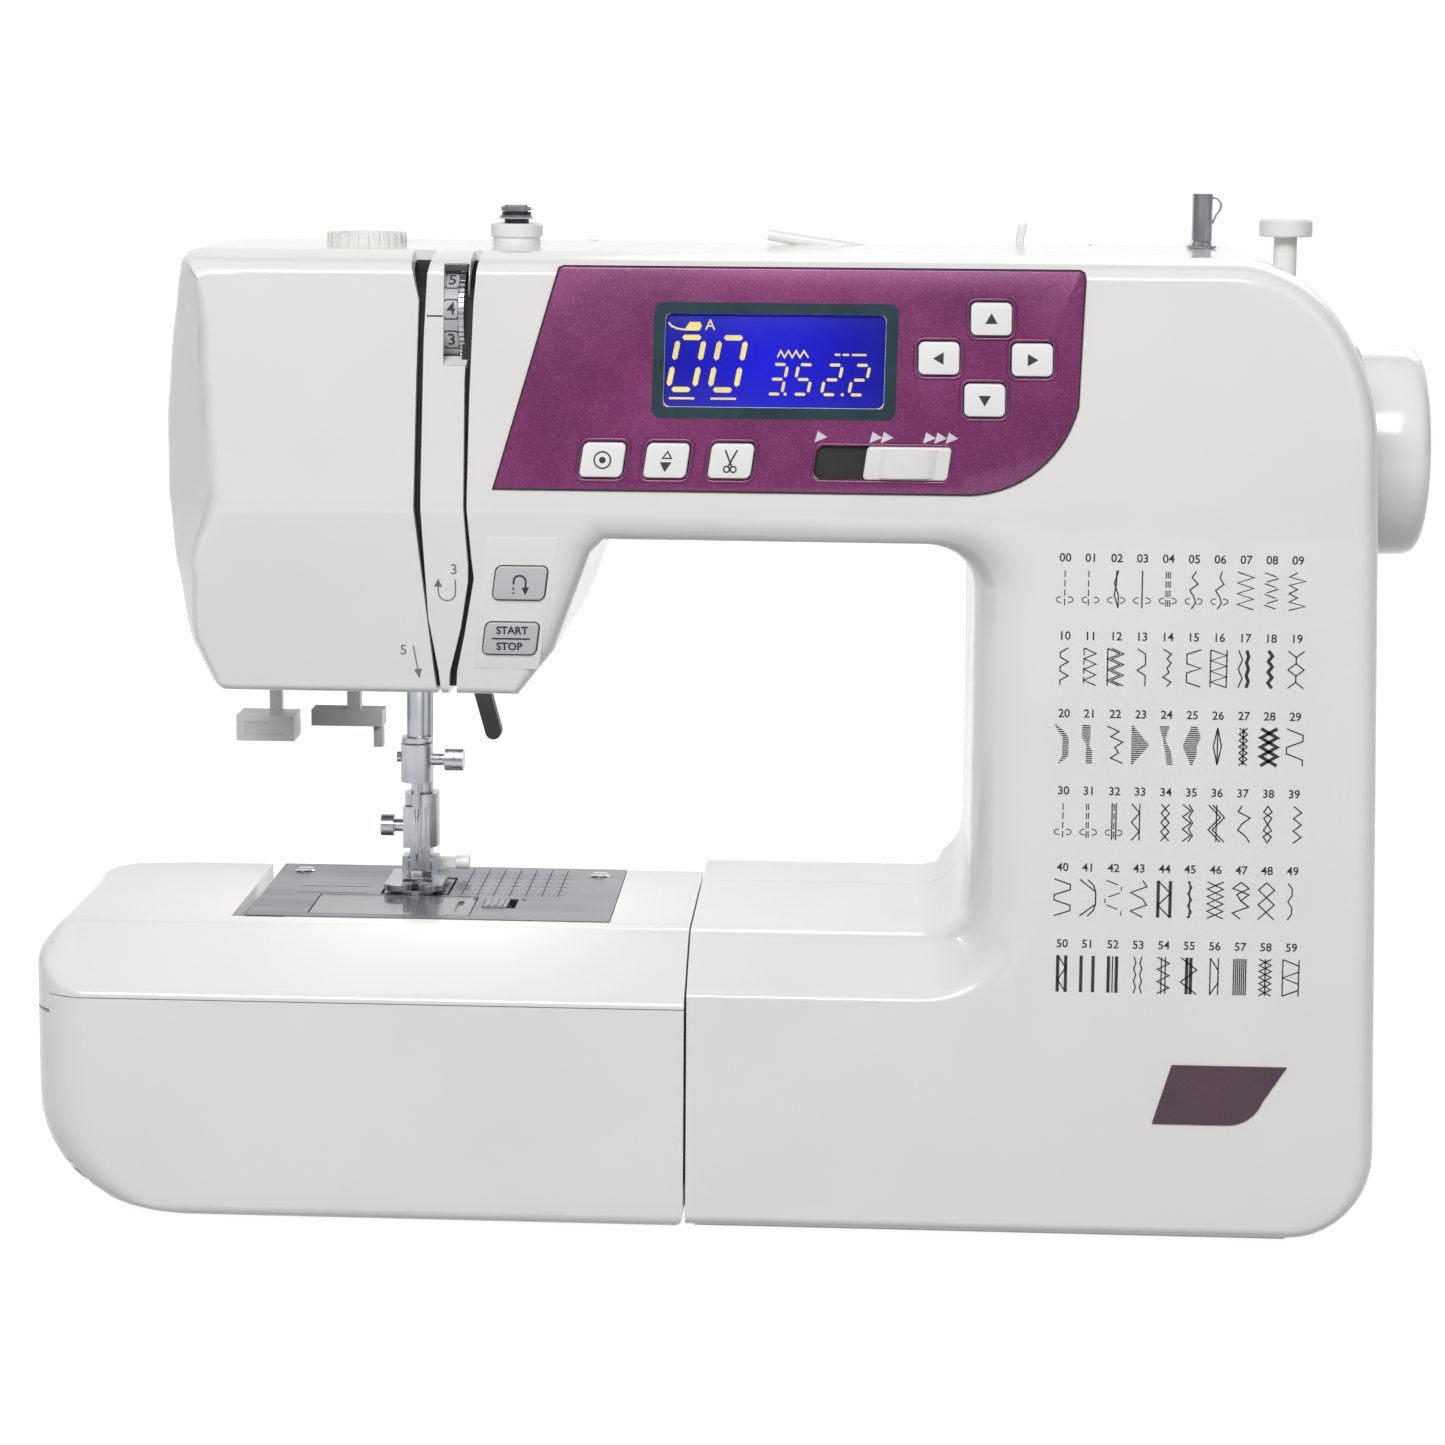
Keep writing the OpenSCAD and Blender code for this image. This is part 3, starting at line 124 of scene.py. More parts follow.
@dataclass(frozen=True)
class Finish:
    """A real surface finish.

    Attributes:
        name: The material's common name and how its surface was made.
        tone: Main sRGB colour.
        shade: The colour that it drifts to.
        rough: Roughness of the smoothest patches.
        rough_span: How much rougher the roughest patches are.
        grain: The direction of the fine relief.
        grain_mm: Size of the fine relief.
        relief_mm: Height of the fine relief.
        drift_mm: Size of the patches of colour and gloss.
        metal: Metallic share.
        coat: Weight of a clear gloss coat.
        ior: Refractive index, kept at the default for metals.
        clear: Share of light that goes through.
        glow: Strength of its own light.
    """
    name: str
    tone: str
    shade: str
    rough: float = 0.3
    rough_span: float = 0.06
    grain: Grain = Grain.EVEN
    grain_mm: float = 1.0
    relief_mm: float = 0.004
    drift_mm: float = 45.0
    metal: float = 0.0
    coat: float = 0.0
    ior: float = 1.5
    clear: float = 0.0
    glow: float = 0.0

    def noise(self, tree: bpy.types.NodeTree, size_mm: float, stretch: Grain, detail: float) -> bpy.types.NodeSocket:
        """Add a noise whose spots are size_mm across.

        Args:
            tree: The material's nodes.
            size_mm: Size of a spot in millimetres.
            stretch: The direction in which the spots run.
            detail: Octaves of finer noise.

        Returns:
            The noise value's socket.
        """
        where = add(tree, "TexCoord").outputs["Object"]
        run = add(tree, "Mapping", {"Vector": where, "Scale": stretch.value}).outputs["Vector"]
        return add(tree, "TexNoise", {"Vector": run, "Scale": 1 / (size_mm * MM), "Detail": detail}).outputs["Fac"]

    def spread(self, tree: bpy.types.NodeTree, value: bpy.types.NodeSocket, low: float, high: float,
               out: Spot) -> bpy.types.NodeSocket:
        """Map the part of a value between low and high onto out."""
        return add(tree, "MapRange", {"Value": value, "From Min": low, "From Max": high,
                                      "To Min": out[0], "To Max": out[1]}).outputs["Result"]

    def colour(self, tree: bpy.types.NodeTree) -> bpy.types.NodeSocket:
        """Give the colour's socket: tone drifting to shade."""
        drift = self.spread(tree, self.noise(tree, self.drift_mm, Grain.EVEN, 2.0), 0.35, 0.65, (0.0, 1.0))
        return add(tree, "Mix", {0: drift, 6: linear(self.tone), 7: linear(self.shade)},
                   data_type="RGBA").outputs[2]

    def material(self) -> bpy.types.Material:
        """Give the finish's material, made on first use."""
        made = bpy.data.materials.get(self.name)
        if made:
            return made
        made = bpy.data.materials.new(self.name)
        made.use_nodes = True
        tree = made.node_tree
        shader = tree.nodes["Principled BSDF"]
        for key, value in {"Metallic": self.metal, "Coat Weight": self.coat, "Coat Roughness": 0.04,
                           "IOR": self.ior, "Transmission Weight": self.clear}.items():
            shader.inputs[key].default_value = value
        colour = self.colour(tree)
        tree.links.new(colour, shader.inputs["Base Color"])
        if self.glow:
            tree.links.new(colour, shader.inputs["Emission Color"])
            shader.inputs["Emission Strength"].default_value = self.glow
        fine = self.noise(tree, self.grain_mm, self.grain, 3.0)
        gloss = self.spread(tree, self.noise(tree, self.drift_mm / 4, self.grain, 3.0), 0.35, 0.65,
                            (self.rough, self.rough + self.rough_span))
        tree.links.new(gloss, shader.inputs["Roughness"])
        bump = add(tree, "Bump", {"Height": fine, "Strength": 1.0, "Distance": self.relief_mm * MM})
        tree.links.new(bump.outputs["Normal"], shader.inputs["Normal"])
        return made


@dataclass(frozen=True)
class FlakeFilm(Finish):
    """A printed polycarbonate film with fine metal flakes under a gloss face."""
    flake: str = "B8649E"
    flake_mm: float = 0.32

    def colour(self, tree: bpy.types.NodeTree) -> bpy.types.NodeSocket:
        """Give the drifting tone with brighter flakes. Real flakes are 0.1 mm; these are coarser, to show."""
        base = Finish.colour(self, tree)
        where = add(tree, "TexCoord").outputs["Object"]
        cells = add(tree, "TexVoronoi", {"Vector": where, "Scale": 1 / (self.flake_mm * MM)})
        grey = add(tree, "SeparateColor", {0: cells.outputs["Color"]}).outputs[0]
        bright = self.spread(tree, grey, 0.72, 1.0, (0.0, 0.34))
        return add(tree, "Mix", {0: bright, 6: base, 7: linear(self.flake)}, data_type="RGBA").outputs[2]


@dataclass(frozen=True)
class BackLit(Finish):
    """A liquid crystal's back light, which glows most at its middle."""
    middle: Triple = (0.0, 0.0, 0.0)
    reach_mm: float = 34.0

    def colour(self, tree: bpy.types.NodeTree) -> bpy.types.NodeSocket:
        """Give the light's colour, fading from tone to shade away from the middle."""
        where = add(tree, "TexCoord").outputs["Object"]
        moved = add(tree, "VectorMath", {0: where, 1: self.middle}, operation="DISTANCE").outputs["Value"]
        fade = self.spread(tree, moved, 0.0, self.reach_mm * MM, (0.0, 1.0))
        return add(tree, "Mix", {0: fade, 6: linear(self.tone), 7: linear(self.shade)},
                   data_type="RGBA").outputs[2]


# ABS, injection moulded in a polished mould: even gloss with a faint orange peel of about a millimetre.
CASE = Finish("abs_gloss_warm_white", "EFEDEA", "ECEAE8", 0.16, 0.05, grain_mm=1.4, relief_mm=0.003,
              coat=0.25, ior=1.53)
# The same ABS from a plain mould, for the small parts: softer gloss.
WHITE = Finish("abs_satin_white", "ECEBE8", "E6E5E2", 0.3, 0.08, grain_mm=0.7, relief_mm=0.005, ior=1.53)
# ABS with grey pigment, spark-eroded mould: a fine even grain of 0.4 mm.
GREY = Finish("abs_moulded_mid_grey", "8F9092", "858688", 0.42, 0.1, grain_mm=0.4, relief_mm=0.008, ior=1.53)
PALE_GREY = Finish("abs_moulded_pale_grey", "BDBDBD", "B4B4B5", 0.36, 0.1, grain_mm=0.4, relief_mm=0.006,
                   ior=1.53)
# Nylon with carbon black, moulded: dull with a fine grain.
BLACK = Finish("nylon_moulded_black", "141416", "1B1B1E", 0.38, 0.12, grain_mm=0.4, relief_mm=0.008, ior=1.53)
# Painted shade: a near-black dull finish for sheets laid in slots, gaps and recesses, standing for the shadow in
# them.
PAINTED_SHADE = Finish("painted_shade_black", "08080A", "0C0C0E", 0.6, 0.1, grain_mm=0.5, ior=1.53)
# Silicone keys, printed and lacquered: soft sheen.
KEY = Finish("silicone_lacquered_white", "F4F3F2", "EFEEEE", 0.28, 0.08, grain_mm=0.5, relief_mm=0.003, ior=1.45)
KEY_GREY = Finish("silicone_lacquered_grey", "CDCED0", "C4C5C8", 0.34, 0.1, grain_mm=0.5, relief_mm=0.004,
                  ior=1.45)
# Screen-printed ink, flat with slightly uneven cover.
INK = Finish("screen_ink_charcoal", "22252A", "2D3036", 0.55, 0.1, grain_mm=0.2, relief_mm=0.004, drift_mm=6)
INK_GREY = Finish("screen_ink_grey", "77787B", "828386", 0.55, 0.1, grain_mm=0.2, drift_mm=6)
INK_WHITE = Finish("screen_ink_pale", "DDD6E0", "D2CAD8", 0.5, 0.1, grain_mm=0.2, drift_mm=6)
# Polycarbonate overlay with purple metal-flake print.
FILM = FlakeFilm("polycarbonate_film_plum_flake", "6E1C58", "7F2566", 0.3, 0.06, grain_mm=0.5, relief_mm=0.002,
                 drift_mm=40, metal=0.25, coat=0.45, ior=1.58)
BADGE = FlakeFilm("polycarbonate_film_dark_plum", "35122A", "3E1730", 0.32, 0.06, grain_mm=0.5, relief_mm=0.002,
                  drift_mm=20, metal=0.2, coat=0.4, ior=1.58, flake="55283F")
BEZEL = Finish("polycarbonate_gloss_teal_black", "1D3940", "24444A", 0.15, 0.05, grain_mm=1.0, relief_mm=0.002,
               drift_mm=14, coat=0.6, ior=1.58)
LCD_MIDDLE = (12 * MM, FRONT + 4.6 * MM, 256 * MM)
LCD = BackLit("lcd_backlight_blue", "0606C8", "000088", 0.25, 0.03, grain_mm=0.3, relief_mm=0.0, coat=0.0,
              glow=0.34, middle=LCD_MIDDLE)
SEGMENT = Finish("lcd_segment_yellow", "D2C274", "C6B66A", 0.4, 0.05, grain_mm=0.3, drift_mm=8, glow=0.55)
# Polycarbonate, clear moulded: slight haze.
CLEAR = Finish("polycarbonate_clear", "F2F5F8", "E8EDF2", 0.05, 0.05, grain_mm=2.0, relief_mm=0.002, ior=1.58,
               clear=0.94)
# Stainless sheet, brushed along X: streaks some 0.25 mm wide.
SHEET = Finish("stainless_steel_brushed", "8C8E92", "818489", 0.24, 0.14, Grain.ALONG_X, 0.25, 0.006, 30, 1.0)
# Steel, ground and nickel plated: bright, with faint grinding marks.
STEEL = Finish("steel_ground_nickel_plated", "B9BBBF", "ABAEB3", 0.22, 0.12, Grain.ALONG_Z, 0.2, 0.004, 12, 1.0)
# Chrome over polished steel: nearly a mirror.
CHROME = Finish("chromed_steel_polished", "D6D8DB", "C9CCD0", 0.08, 0.08, grain_mm=3.0, relief_mm=0.002,
                drift_mm=14, metal=1.0)
# Zinc die casting, as cast: dull and slightly pitted.
CAST = Finish("zinc_die_cast", "85878A", "74767A", 0.48, 0.18, grain_mm=0.9, relief_mm=0.03, drift_mm=16,
              metal=0.85)
# Rolled motor can, zinc passivated.
CAN = Finish("steel_can_zinc_passivated", "9A9A94", "8B8C88", 0.35, 0.12, Grain.ALONG_X, 0.4, 0.006, 20, 1.0)
BOARD = Finish("epoxy_glass_board_green", "1F5B3A", "26684A", 0.35, 0.1, grain_mm=0.6, relief_mm=0.01,
               drift_mm=7)
FEET = Finish("rubber_moulded_dark_grey", "3A3B3D", "333436", 0.7, 0.15, grain_mm=0.6, relief_mm=0.02)
BELT = Finish("neoprene_belt_black", "17171A", "1F1F22", 0.65, 0.15, grain_mm=0.5, relief_mm=0.02)
LAMP = Finish("acrylic_lit_white", "F4F8FF", "E6EEFF", 0.2, 0.05, grain_mm=1.0, glow=3.0)


# ---------------------------------------------------------------- mesh work


def corner_step(run_in: Vector, run_out: Vector, move_in: float, move_out: float, straight: float) -> Vector:
    """Give how far a corner moves when its two edges move inwards.

    Args:
        run_in: The edge that comes to the corner.
        run_out: The edge that leaves it.
        move_in: How far the first edge moves.
        move_out: How far the second edge moves.
        straight: Sine of the bend under which the corner counts as straight.

    Returns:
        The corner's step.
    """
    a, b = run_in.normalized(), run_out.normalized()
    na, nb = Vector((-a.y, a.x)), Vector((-b.y, b.x))
    det = na.x * nb.y - na.y * nb.x
    if abs(det) < straight:
        return (na + nb).normalized() * (move_in + move_out) / 2
    return Vector((move_in * nb.y - move_out * na.y, move_out * na.x - move_in * nb.x)) / det


def inset(points: Flat, by: float | Sequence[float]) -> Path:
    """Move a closed outline inwards.

    Args:
        points: The outline, anticlockwise.
        by: One distance, or one for each edge, which runs from its point to the next.

    Returns:
        The moved points, each where its two moved edges meet.
    """
    count = len(points)
    steps = [by] * count if isinstance(by, (int, float)) else list(by)
    moved = []
    for i, (x, y) in enumerate(points):
        (px, py), (qx, qy) = points[i - 1], points[(i + 1) % count]
        step = corner_step(Vector((x - px, y - py)), Vector((qx - x, qy - y)), steps[i - 1], steps[i], 0.02)
        moved.append((x + step.x, y + step.y))
    return moved


def arc(cx: float, cy: float, rx: float, ry: float, a0: float, a1: float, steps: int = 10) -> Path:
    """Give points along an elliptical arc, with angles in degrees."""
    turns = [math.radians(a0 + (a1 - a0) * i / steps) for i in range(steps + 1)]
    return [(cx + rx * math.cos(t), cy + ry * math.sin(t)) for t in turns]


def round_box(width: float, height: float, radius: float, steps: int = 5,
              middle: Spot = (0.0, 0.0)) -> Path:
    """Give a rectangle with round corners round its middle, anticlockwise."""
    w, h = width / 2 - radius, height / 2 - radius
    return [p for sx, sy, a in ((1, -1, -90), (1, 1, 0), (-1, 1, 90), (-1, -1, 180))
            for p in arc(middle[0] + sx * w, middle[1] + sy * h, radius, radius, a, a + 90, steps)]


def upright_box(wide: Spot, tall: Spot) -> Path:
    """Give a rectangle between two values across and two upwards, anticlockwise."""
    return [(wide[0], tall[0]), (wide[1], tall[0]), (wide[1], tall[1]), (wide[0], tall[1])]


def skin(bm: BMesh, rings: Sequence[Sequence[Vector]], caps: tuple[bool, bool] = (True, True),
         round_trip: bool = False) -> list[bmesh.types.BMFace]:
    """Join rings of points with faces.

    Args:
        bm: The mesh that gets them.
        rings: Closed rings with the same number of points.
        caps: Whether the first and the last ring are filled.
        round_trip: Whether the last ring joins the first.

    Returns:
        The caps' faces.
    """
    rows = [[bm.verts.new(p) for p in ring] for ring in rings]
    pairs = list(zip(rows, rows[1:])) + ([(rows[-1], rows[0])] if round_trip else [])
    for low, high in pairs:
        for i in range(len(low)):
            j = (i + 1) % len(low)
            bm.faces.new((low[i], low[j], high[j], high[i]))
    ends = []
    if caps[0]:
        ends.append(bm.faces.new(list(reversed(rows[0]))))
    if caps[1]:
        ends.append(bm.faces.new(rows[-1]))
    return ends


def slab(bm: BMesh, outline: Flat, place: Place, low: float, high: float, edge: float = 0.3,
         foot: float = 0.0, steps: int = 3) -> None:
    """Raise an outline into a plate with rounded edges.

    Args:
        bm: The mesh that gets it.
        outline: Anticlockwise points in the plate's plane.
        place: Turns the plane's two values and a height into a point.
        low: Height of the back.
        high: Height of the front.
        edge: Radius of the front edge.
        foot: Radius of the back edge.
        steps: Faces across a rounded edge.
    """
    levels: Path = []
    for radius, base, sign in ((foot, low, 1), (edge, high, -1)):
        turns = [math.pi / 2 * i / steps for i in range(steps + 1)] if radius else [math.pi / 2]
        part = [(radius * (1 - math.sin(a)), base + sign * radius * (1 - math.cos(a))) for a in turns]
        levels += part if sign > 0 else part[::-1]
    skin(bm, [[place(u, v, h) for u, v in inset(outline, d)] for d, h in levels])


def patch(bm: BMesh, outline: Flat, place: Place) -> None:
    """Print a filled outline."""
    slab(bm, outline, place, 0.0, INK_HIGH, 0.0)


def turned(bm: BMesh, place: Place, profile: Flat, steps: int = 48) -> None:
    """Turn a profile about an axis.

    Args:
        bm: The mesh that gets it.
        place: Turns two values across the axis and one along it into a point.
        profile: Radius and position along the axis; both ends may sit on the axis.
        steps: Faces round the axis.
    """
    rings = []
    for radius, along in profile:
        rings.append([place(radius * math.cos(math.tau * i / steps), radius * math.sin(math.tau * i / steps),
                            along) for i in range(steps)])
    closed = profile[0] == profile[-1]
    skin(bm, rings[:-1] if closed else rings, (not closed, not closed), closed)


def along_x(depth: float, z: float) -> Place:
    """Give a frame for turned pieces whose axis runs along X through a depth and a Z."""
    return lambda u, v, w: at(w, depth + u, z + v)


def rod(bm: BMesh, path: Sequence[Vector], radius: float | Sequence[float], sides: int = 12) -> None:
    """Sweep a round section along a path.

    Args:
        bm: The mesh that gets it.
        path: Points in metres.
        radius: One radius, or one for each point, in millimetres.
        sides: Faces round the section.
    """
    sizes = [radius] * len(path) if isinstance(radius, (int, float)) else list(radius)
    rings, across = [], None
    for i, point in enumerate(path):
        run = (path[min(i + 1, len(path) - 1)] - path[max(i - 1, 0)]).normalized()
        if across is None:
            across = run.orthogonal().normalized()
        across = (across - run * across.dot(run)).normalized()
        other = run.cross(across)
        rings.append([point + (across * math.cos(a) + other * math.sin(a)) * sizes[i] * MM
                      for a in (math.tau * k / sides for k in range(sides))])
    skin(bm, rings)


def ribbon(bm: BMesh, line: Flat, width: float, place: Place, high: float = INK_HIGH, loop: bool = False) -> None:
    """Lay a thin printed line along flat points.

    Args:
        bm: The mesh that gets it.
        line: The line's points.
        width: The line's width.
        place: Turns two flat values and a height into a point.
        high: The ink's height.
        loop: Whether the last point joins the first.
    """
    points = [Vector(p) for p in line]
    left, right = [], []
    for i, point in enumerate(points):
        before = points[i - 1] if i or loop else None
        after = points[(i + 1) % len(points)] if i + 1 < len(points) or loop else None
        a = (point - before).normalized() if before else (after - point).normalized()
        b = (after - point).normalized() if after else a
        run = (a + b).normalized() if (a + b).length > 0.2 else a
        reach = width / 2 / max(run.dot(a), 0.5)
        side = Vector((-run.y, run.x)) * reach
        left.append(point + side)
        right.append(point - side)
    spots = range(len(points) if loop else len(points) - 1)
    rows = [[bm.verts.new(place(p.x, p.y, h)) for p in edge] for edge in (left, right) for h in (0.0, high)]
    low_l, high_l, low_r, high_r = rows
    for i in spots:
        j = (i + 1) % len(points)
        for a, b, c, d in ((high_r, high_r, high_l, high_l), (high_l, high_l, low_l, low_l),
                           (low_r, low_r, high_r, high_r), (low_l, low_l, low_r, low_r)):
            bm.faces.new((a[i], b[j], c[j], d[i]))
    if not loop:
        for i in (0, -1):
            bm.faces.new((low_r[i], high_r[i], high_l[i], low_l[i]))


def lettering(bm: BMesh, words: str, size: float, middle: Spot, place: Place,
              high: float = INK_HIGH, weight: float = 0.01) -> None:
    """Print figures or plain words.

    Args:
        bm: The mesh that gets them.
        words: The text.
        size: Height of a capital letter in millimetres.
        middle: The text's middle.
        place: Turns two flat values and a height into a point.
        high: The ink's height.
        weight: How much bolder the strokes get, as a share of the size.
    """
    curve = bpy.data.curves.new("letters", "FONT")
    curve.body, curve.size, curve.align_x, curve.align_y = words, size / 0.7, "CENTER", "CENTER"
    curve.resolution_u, curve.extrude, curve.offset = 3, 0.5, weight * size
    holder = bpy.data.objects.new("letters", curve)
    mesh = holder.to_mesh()
    rows = [bm.verts.new(place(v.co.x + middle[0], v.co.y + middle[1], high if v.co.z > 0 else 0.0))
            for v in mesh.vertices]
    for face in mesh.polygons:
        bm.faces.new([rows[i] for i in face.vertices])
    holder.to_mesh_clear()
    bpy.data.objects.remove(holder)
    bpy.data.curves.remove(curve)


def to_object(name: str, bm: BMesh, crease_deg: float = CREASE_DEG) -> bpy.types.Object:
    """Make an object of a mesh, with faces turned outwards and smooth up to a crease angle."""
    bmesh.ops.remove_doubles(bm, verts=bm.verts, dist=1e-7)
    bmesh.ops.recalc_face_normals(bm, faces=bm.faces)
    mesh = bpy.data.meshes.new(name)
    bm.to_mesh(mesh)
    bm.free()
    made = bpy.data.objects.new(name, mesh)
    bpy.context.scene.collection.objects.link(made)
    mesh.shade_smooth()
    mesh.set_sharp_from_angle(angle=math.radians(crease_deg))
    return made


def settle(obj: bpy.types.Object) -> None:
    """Apply an object's modifiers to its mesh."""
    graph = bpy.context.evaluated_depsgraph_get()
    mesh = bpy.data.meshes.new_from_object(obj.evaluated_get(graph))
    obj.modifiers.clear()
    old, obj.data = obj.data, mesh
    bpy.data.meshes.remove(old)


def take(obj: bpy.types.Object, cutter: bpy.types.Object, keep: bool = False, crease_deg: float = CREASE_DEG) -> None:
    """Take one closed object out of another, or keep only what lies in both. The cutter goes."""
    change = obj.modifiers.new("cut", "BOOLEAN")
    change.object, change.operation, change.solver = cutter, "INTERSECT" if keep else "DIFFERENCE", "EXACT"
    settle(obj)
    bpy.data.objects.remove(cutter)
    obj.data.set_sharp_from_angle(angle=math.radians(crease_deg))


def cut(obj: bpy.types.Object, tool: BMesh, keep: bool = False) -> None:
    """Take a closed mesh out of an object, or keep only what lies in both."""
    take(obj, to_object("cutter", tool), keep)


def dress(obj: bpy.types.Object, finish: Finish, body: str, slot: str, *stands_for: str,
          even: bool = False) -> bpy.types.Object:
    """Give a piece its finish and its body, and report it.

    Args:
        obj: The piece.
        finish: Its surface finish.
        body: The body that it moves with.
        slot: The name of a material slot; not used.
        *stands_for: CAD nodes that it replaces.
        even: Whether large faces steer the shading, for shells with flat and rounded parts.

    Returns:
        The piece.
    """
    obj.data.materials.clear()
    obj.data.materials.append(finish.material())
    if even:
        weigh = obj.modifiers.new("even", "WEIGHTED_NORMAL")
        weigh.keep_sharp = True
    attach(obj, body)
    if stands_for:
        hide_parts(*stands_for)
    LOG.info("%s: %d faces, rides on %s", obj.name, len(obj.data.polygons), body)
    return obj


def make(name: str, bm: BMesh, finish: Finish, body: str, slot: str, *stands_for: str,
         crease_deg: float = CREASE_DEG) -> bpy.types.Object:
    """Make a mesh into a dressed piece: to_object and dress in one."""
    return dress(to_object(name, bm, crease_deg), finish, body, slot, *stands_for)


# ---------------------------------------------------------------- casing


@dataclass(frozen=True)
class Rim:
    """How a moulding turns from its face to its side: reach along the face, depth, and roundness from 0 to 1."""
    reach: float
    deep: float
    swell: float = 1.0


@dataclass
class Knot:
    """A point of a moulding's outline, with its rim before and after it."""
    x: float
    z: float
    before: float
    after: float
    deep: float
    swell: float


@dataclass
class Outline:
    """A moulding's closed outline, anticlockwise from the front, with a rim that changes along it."""
    step: float = 6.0
    knots: list[Knot] = field(default_factory=list)

    def run(self, points: Flat, start: Rim, end: Optional[Rim] = None) -> "Outline":
        """Add points whose rim goes from start to end.

        Args:
            points: The next points.
            start: Rim at the first of them.
            end: Rim at the last, if it differs.

        Returns:
            The outline itself.
        """
        end = end or start
        for i, (x, z) in enumerate(points):
            t = smooth(i / max(len(points) - 1, 1))
            mix = [a + (b - a) * t for a, b in zip((start.reach, start.deep, start.swell),
                                                   (end.reach, end.deep, end.swell))]
            self.knots.append(Knot(x, z, mix[0], mix[0], mix[1], mix[2]))
        return self

    def dense(self) -> list[Knot]:
        """Give the knots with long edges divided."""
        done: list[Knot] = []
        for a, b in zip(self.knots, self.knots[1:] + self.knots[:1]):
            done.append(a)
            straight = a.after < 1 and b.before < 1
            parts = 1 if straight else max(1, round(math.hypot(b.x - a.x, b.z - a.z) / self.step))
            for k in range(1, parts):
                t, e = k / parts, smooth(k / parts)
                reach = a.after + (b.before - a.after) * e
                done.append(Knot(a.x + (b.x - a.x) * t, a.z + (b.z - a.z) * t, reach, reach,
                                 a.deep + (b.deep - a.deep) * e, a.swell + (b.swell - a.swell) * e))
        return done


def rim_profile(swell: float, steps: int = 4) -> Path:
    """Give a rim's run from face to side: a slant with rounded ends.

    Args:
        swell: Roundness of the ends, up to 1 for a full quarter round.
        steps: Faces across each end.

    Returns:
        Shares of the rim's reach and of its depth.
    """
    c, k = 0.414 * swell, 0.46 * swell
    ends = (((1.0, 0.0), (1 - c, 0.0), ((1 - c) * (1 - k), (1 - c) * k)),
            (((1 - c) * k, (1 - c) * (1 - k)), (0.0, 1 - c), (0.0, 1.0)))
    run = []
    for a, b, d in ends:
        for t in (i / steps for i in range(steps + 1)):
            run.append(tuple((1 - t) ** 2 * a[n] + 2 * t * (1 - t) * b[n] + t * t * d[n] for n in (0, 1)))
    return run


def drawn_in(knots: Sequence[Knot], wall: float) -> Path:
    """Move knots inwards by their rims' reach and a wall, and gather the points that would cross."""
    moved = []
    for i, knot in enumerate(knots):
        prev, after = knots[i - 1], knots[(i + 1) % len(knots)]
        step = corner_step(Vector((knot.x - prev.x, knot.z - prev.z)), Vector((after.x - knot.x, after.z - knot.z)),
                           knot.before + wall, knot.after + wall, 0.08)
        moved.append(Vector((knot.x + step.x, knot.z + step.y)))
    for _ in range(20):
        for i in range(len(knots)):
            j = (i + 1) % len(knots)
            run = moved[j] - moved[i]
            if run.x * (knots[j].x - knots[i].x) + run.y * (knots[j].z - knots[i].z) < 0:
                moved[i] = moved[j] = (moved[i] + moved[j]) / 2
    return [(p.x, p.y) for p in moved]


